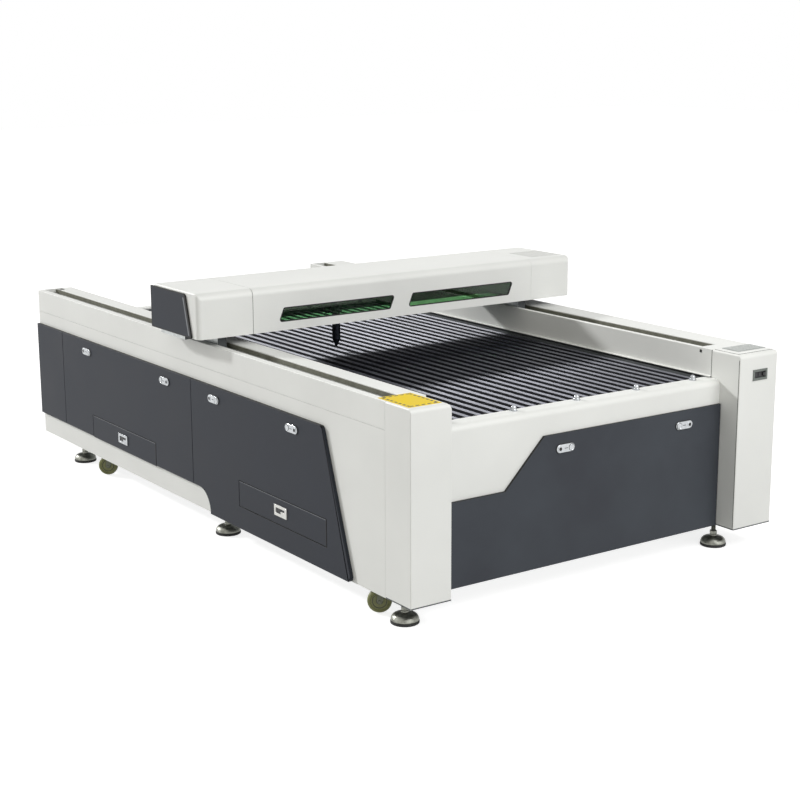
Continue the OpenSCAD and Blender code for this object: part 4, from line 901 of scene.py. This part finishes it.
def dashes(skin):
    """A dashed line printed round the plate, along its edge."""
    inset, long, wide, gap = 13, 16, 9, 10
    x, y = (PLATE[0].x + inset, PLATE[1].x - inset), (PLATE[0].y + inset, PLATE[1].y - inset)
    z = (PLATE[1].z - 0.1, PLATE[1].z + 0.12)
    for along, across in ((x, y), (y, x)):
        count = int((along[1] - along[0]) // (long + gap))
        step = (along[1] - along[0] - long) / count
        for i in range(count + 1):
            a = (along[0] + i * step, along[0] + i * step + long)
            for edge in across:
                b = (edge - wide / 2, edge + wide / 2)
                block(skin, *((a, b) if along is x else (b, a)), z)


formed("plate_dashes", dashes, HOUSING, rider("caution_plate"))

# ---------- windows ----------


def gasket(skin):
    """A moulded edge seal that frames the window from the front of the sheet to its back."""
    drawn(skin, window_outline(1.5), (-2.6, 0.8), window_outline(-3.5))


formed("window_gaskets", gasket, RUBBER, rider("cover_windows"), window_places, 0.5)
softened("cover_windows", ACRYLIC, fold=0.5)

# ---------- slots ----------

SLOT_TOP = high("left_beam_cover").z
BED = (low("left_inner_cover").y, high("left_inner_cover").y)
# Where the faces of each slot's two felts lie, across the body
LEFT_SLOT, RIGHT_SLOT = (34, 100), (1699, 1775)


def slot_felts(skin):
    """Felt wiping strips along both walls of both slots, whose dark olive also paints the shade in
    the slots.
    """
    for left, right in (LEFT_SLOT, RIGHT_SLOT):
        for x in ((left - 0.5, left + 1.6), (right - 1.6, right + 0.5)):
            block(skin, x, BED, (SLOT_TOP - 22, SLOT_TOP - 4))


formed("slot_felts", slot_felts, FELT, rider("left_beam_cover"))


def hems(skin):
    """Grey strips along the column covers' lower edges, painted shade of the turned in hems, which
    shows as a dark line.
    """
    tall, proud, deep, corner = 5, 0.3, 1, 2
    for name in ("left_column_cover", "right_column_cover"):
        x, y = (low(name).x, high(name).x), (corner, high(name).y)
        block(skin, (x[0] + corner, x[1] - corner), (-proud, deep), (0, tall))
        block(skin, (x[0] - proud, x[0] + deep), y, (0, tall))
        block(skin, (x[1] - deep, x[1] + proud), y, (0, tall))


formed("cover_hem_shades", hems, PRIMER, rider("left_column_cover"))


def seams(skin):
    """Dark strips in the joints round the right column and down its inner front corner, painted
    shadow along them, and a blank in the lamp lead's hole.
    """
    x, back = low("right_inner_cover").x + 14, high("right_column_cover").y
    # Between the column and the inner cover, from the bed's ledge to the top
    block(skin, (x - 0.4, x + 1), (back - 0.6, back + 1.8), (612, 756.5))
    # Down the column's inner front corner, below its roll
    block(skin, (x - 0.35, x + 0.5), (3.6, 6), (8, 736))
    # In the hole
    block(skin, (x - 1.2, x + 3), (back + 60, back + 72), (736, 748))


formed("column_seam_shadows", seams, RUBBER, rider("right_column_cover"))


def port_sockets(skin):
    """The black insert in the port's pocket, with two raised sockets."""
    margin, gap, rim = 10.2, 4, 5
    x, z = (PORT[0].x + margin, PORT[1].x - margin), (PORT[0].z + margin, PORT[1].z - margin)
    block(skin, x, (4, 9), z)
    third = (x[1] - x[0]) / 3
    for left in (x[0], x[0] + third):
        block(skin, (left + gap, left + third - gap), (2, 5), (z[0] + rim, z[1] - rim))


def port_nub(skin):
    """The round cap on the port's second socket."""
    turned(skin, [(0, -3), (9, -3), (9, 6), (7.6, 7.6), (0, 8)], 24)


formed("port_insert", port_sockets, HOUSING, rider("port_frame"), None, 0.6)
formed("port_cap", port_nub, HOUSING, rider("port_frame"),
    [facing(PORT[1].x - 16, 5.2, (PORT[0].z + PORT[1].z) / 2, "-Y")])

# ---------- closing sheets, rail bolts and the rear ----------


def belly_sheet(skin):
    """The sheet that closes the right beam from below, outside its sill."""
    block(skin, (high("sills").x - 2, high("side_sheets").x - 2), (BED[0], BED[1] - 4), (20, 22))


formed("right_belly_sheet", belly_sheet, PRIMER, rider("sills"))


def slot_end(skin):
    """A white plate that closes the right slot from the column to where the gantry stops."""
    block(skin, (RIGHT_SLOT[0] - 0.5, RIGHT_SLOT[1] + 2.5), (BED[0], BED[0] + 74),
        (SLOT_TOP - SHEET, SLOT_TOP))


def cover_end(skin):
    """A blank that closes the left inner cover's front end beside the column's roll."""
    edge = high("left_inner_cover").x - 14
    block(skin, (edge - 32, edge), (BED[0] - 0.6, BED[0] + 1.6), (SLOT_TOP - 42, SLOT_TOP - 0.4))


def rail_bolts(skin):
    """Counterbored bolt holes along both lengthways rails, as dark inlays that paint the shade in
    the holes.
    """
    half_rail, pitch, radius = 10, 60, 4.4
    start, end = low("y_rails"), high("y_rails")
    for x in (start.x + half_rail, end.x - half_rail):
        for i in range(int((end.y - start.y) // pitch)):
            y = start.y + (i + 0.5) * pitch
            drawn(skin, corner_arc(x, y, radius, 0, 330, 11), (end.z - 0.4, end.z + 0.1))


BACK = high("rear_fascia").y


def louvres(skin):
    """Three rows of pressed vent slots low on the rear panel, as dark inlays, painted shade in the
    slots.
    """
    columns, rows, pitch, size = 22, 3, (18, 44), (5, 34)
    for i in range(columns):
        for j in range(rows):
            x, z = WELL_X[0] + 560 + i * pitch[0], 90 + j * pitch[1]
            block(skin, (x, x + size[0]), (BACK - 0.4, BACK + 0.15), (z, z + size[1]))


def rear_screw(skin):
    """A pan head screw's head."""
    turned(skin, [(0, 0), (5, 0), (5, 1.2), (4.2, 2.4), (2.4, 3), (0, SCREW_H)], 16)


SPIGOT = (low("exhaust_spigots"), high("exhaust_spigots"))
SCREW_H = 3.1
spigot_z = (SPIGOT[0].z + SPIGOT[1].z) / 2
flange_r = (SPIGOT[1].z - SPIGOT[0].z) / 2
screws = []
# Six on each spigot's flange
for middle in (SPIGOT[0].x + flange_r, SPIGOT[1].x - flange_r):
    screws += [facing(x, BACK + 2.8, z, "+Y")
        for x, z in corner_arc(middle, spigot_z, flange_r - 9, 30, 330, 5)]
# Three rows on the rear panel, and down both sides of each end plate, which they lie flush in
for x in (WELL_X[0] + 26, (WELL_X[0] + WELL_X[1]) / 2, WELL_X[1] - 26):
    screws += [facing(x, BACK - 0.2, z, "+Y") for z in (40, 310, 580)]
for x in (REAR[0].x + 20, WELL_X[0] - 20, WELL_X[1] + 20, REAR[1].x - 20):
    screws += [facing(x, REAR[1].y - SCREW_H, z, "+Y") for z in (30, 380, 730)]

formed("right_slot_end", slot_end, WHITE, rider("right_beam_cover"))
formed("left_cover_end", cover_end, WHITE, rider("left_inner_cover"))
formed("rail_bolts", rail_bolts, HOUSING, rider("y_rails"))
formed("rear_louvres", louvres, HOUSING, rider("rear_fascia"))
formed("rear_screws", rear_screw, ZINC, rider("rear_fascia"), screws)

# ---------- frame, drives and carriages ----------

COATS = {
    "frame_paint": (PRIMER, ("sills", "cross_tubes", "posts", "rail_beams", "table_bearers",
        "table_frame", "gantry_beam", "head_carriage")),
    "zinc": (ZINC, ("floor_pan", "exhaust_spigots")),
    "bright_steel": (GROUND, ("y_rails", "x_rail", "y_drive_pulleys", "y_idler_pulleys",
        "x_drive_pulley", "x_idler_pulley")),
    "black_rubber": (RUBBER, ("y_belts", "x_belt")),
    "black_housing": (HOUSING, ("y_drive_mounts", "x_motor", "power_inlet")),
    "tube_glass": (TUBE_GLASS, ("laser_tube",)),
    "blued_steel": (BLUED, ("lens_tube",)),
}
softened("port_frame", SOCKET, fold=1.0, hem=0.4)
# Carriages: dark primer, painted shade under the gantry, but for the bright zinc sheet ends that
# show at the sides
two_tone(softened("gantry_carriages", PRIMER, fold=1.0, hem=0.4), ZINC,
    lambda normal: abs(normal.x) > 0.7)
for slot, (material, names) in COATS.items():
    for name in names:
        softened(name, material, fold=1.0, hem=0.4)

# ---------- feet and casters ----------


def foot(skin):
    """A levelling foot's metal: bun shaped cap, its neck, lock nuts and a threaded stem."""
    turned(skin, [(50, 11), (53.6, 12.4), (54.6, 15), (54.2, 18), (52.4, 24), (49, 29.6),
        (44.6, 34.2), (39, 37.4), (32, 39.8), (24, 41.4), (18, 42.4), (15.6, 44), (15, 49),
        (12, 50)], 64)
    thread = [(10 if i % 2 else 8.9, 49 + 1.5 * i) for i in range(47)]
    turned(skin, [(0, 42)] + thread + [(0, 119.5)], 24)
    for z in (50, 104):
        turned(skin, [(0, z), (14.4, z), (16, z + 1.6), (16, z + 14.2), (14.4, z + 15.8),
            (0, z + 15.8)], 6)


def foot_pad(skin):
    """The rubber pad that the cap sits in."""
    turned(skin, [(0, 0), (53, 0), (55.4, 1.6), (PAD_R, 4), (PAD_R, 9), (55, 11.4), (53, 12.2),
        (0, 12.2)], 64)


FEET = (low("levelling_feet"), high("levelling_feet"))
PAD_R, MIDDLE_FOOT_Y = 56, 1500
foot_places = [shift(x, y, FEET[0].z) for x in (FEET[0].x + PAD_R, FEET[1].x - PAD_R)
    for y in (FEET[0].y + PAD_R, MIDDLE_FOOT_Y, FEET[1].y - PAD_R)]
formed("feet", foot, CAST, rider("levelling_feet"), foot_places, 0,
    ("levelling_feet",))
formed("foot_pads", foot_pad, RUBBER, rider("levelling_feet"), foot_places)

# How far each caster trails round its stem, in degrees, and its axle's direction from that
TRAIL = 55
AXLE = Matrix.Rotation(math.radians(TRAIL), 4, "Z") @ Matrix.Rotation(math.pi / 2, 4, "Y")


def wheel(skin):
    """A solid wheel's tread: its crown and its stepped side rings."""
    half = [(28, 12), (33, 14), (34.4, 12.4), (36.4, 12.4), (38, 14.6), (42, 14.8), (45.4, 13),
        (47.4, 9), (48, 4)]
    turned(skin, half + [(r, -h) for r, h in half[::-1]], 56)


def wheel_core(skin):
    """The wheel's cast centre: rim, dished web and boss."""
    half = [(5.1, 15), (12, 15), (13, 14.2), (14, 9), (25, 8), (26.5, 12.6), (29, 12.8), (30, 11.8)]
    turned(skin, half + [(r, -h) for r, h in half[::-1]], 48)


for corner in ("front_left", "front_right", "rear_left", "rear_right"):
    name = corner + "_caster_wheel"
    hub = [shift(*(low(name) + high(name)) / 2) @ AXLE]
    softened(corner + "_caster_fork", SHADED_ZINC, fold=1.0, hem=0.4)
    formed(corner + "_wheel", wheel, TYRE, rider(name), hub, 0, (name,))
    formed(corner + "_wheel_core", wheel_core, IRON, rider(name), hub)

# ---------- room ----------

# From the front left and above, with a long lens
camera = bpy.data.objects.new("camera", bpy.data.cameras.new("camera"))
camera.data.lens = 72.3
camera.data.sensor_width = 36
camera.location = (-4.166, -6.246, 2.165)
tilt = (Matrix.Rotation(math.radians(-34.85), 4, "Z") @ Matrix.Rotation(math.radians(77.15), 4, "X")
    @ Matrix.Rotation(math.radians(-0.21), 4, "Z"))
camera.rotation_euler = tilt.to_euler()
SCENE.collection.objects.link(camera)
SCENE.camera = camera


def seen_rays(tree):
    """One for camera, glossy and transmission rays, and zero for the light that falls."""
    path = add(tree, "LightPath")
    either = add(tree, "Math", {0: path.outputs["Is Camera Ray"], 1: path.outputs["Is Glossy Ray"]},
        operation="MAXIMUM")
    return add(tree, "Math", {0: either.outputs[0], 1: path.outputs["Is Transmission Ray"]},
        operation="MAXIMUM")


world = bpy.data.worlds.new("studio")
SCENE.world = world
world.use_nodes = True
sky = world.node_tree
sky.nodes.clear()
seen = seen_rays(sky)
# White where it is seen, and dimmer as the light that falls on the machine
level = add(sky, "MapRange", {"Value": seen.outputs[0], "To Min": 0.4, "To Max": 1.0})
# The colour mix's sockets have names that repeat, so they are given by number
tone = add(sky, "Mix", {0: seen.outputs[0], 6: srgb("FFFFFB"), 7: srgb("FFFFFF")},
    data_type="RGBA")
glow = add(sky, "Background", {"Color": tone.outputs[2], "Strength": level.outputs[0]})
add(sky, "OutputWorld", {"Surface": glow.outputs[0]})

floor_mesh = bpy.data.meshes.new("floor")
# Half the floor's side, in metres
REACH = 30
floor_mesh.from_pydata([(-REACH, -REACH, 0), (REACH, -REACH, 0), (REACH, REACH, 0),
    (-REACH, REACH, 0)], [], [(0, 1, 2, 3)])
floor = bpy.data.objects.new("floor", floor_mesh)
SCENE.collection.objects.link(floor)
paper = bpy.data.materials.new("white_paper_floor")
paper.use_nodes = True
tree = paper.node_tree
tree.nodes.clear()
seen = seen_rays(tree)
# With the lamps' light this comes to white, and a shadow still shows
part = add(tree, "Math", {0: seen.outputs[0], 1: 0.79}, operation="MULTIPLY")
matt = add(tree, "BsdfDiffuse", {"Color": srgb("C0C0C0")})
light = add(tree, "Emission", {"Color": (1, 1, 1, 1), "Strength": part.outputs[0]})
both = add(tree, "AddShader", {0: matt.outputs[0], 1: light.outputs[0]})
add(tree, "OutputMaterial", {"Surface": both.outputs[0]})
floor_mesh.materials.append(paper)


def lamp(name, kind, energy, place, aim, **settings):
    """A lamp at a place in metres that looks at a point."""
    made = bpy.data.objects.new(name, bpy.data.lights.new(name, kind))
    made.data.energy = energy
    for key, value in settings.items():
        setattr(made.data, key, value)
    made.location = place
    made.rotation_euler = (Vector(aim) - Vector(place)).to_track_quat("-Z", "Y").to_euler()
    SCENE.collection.objects.link(made)


lamp("front_softbox", "SUN", 0.95, (1.2, -5.0, 2.6), (0, 0, 0), angle=math.radians(50))
lamp("high_softbox", "AREA", 80, (0.8, -4.4, 4.0), (0, -1.2, 0.6), size=2.6)
lamp("left_softbox", "SUN", 0.12, (-5.0, -1.6, 2.2), (0, 0, 0), angle=math.radians(60),
    color=srgb("FFF2D0")[:3])
lamp("left_far_softbox", "AREA", 24, (-4.6, 2.8, 2.4), (-0.9, 0.6, 0.6), size=2)
lamp("back_left_light", "SUN", 1.95, (-4.69, 8.83, 4.65), (0, 0, 0), angle=math.radians(5))

SCENE.view_settings.view_transform = "Standard"
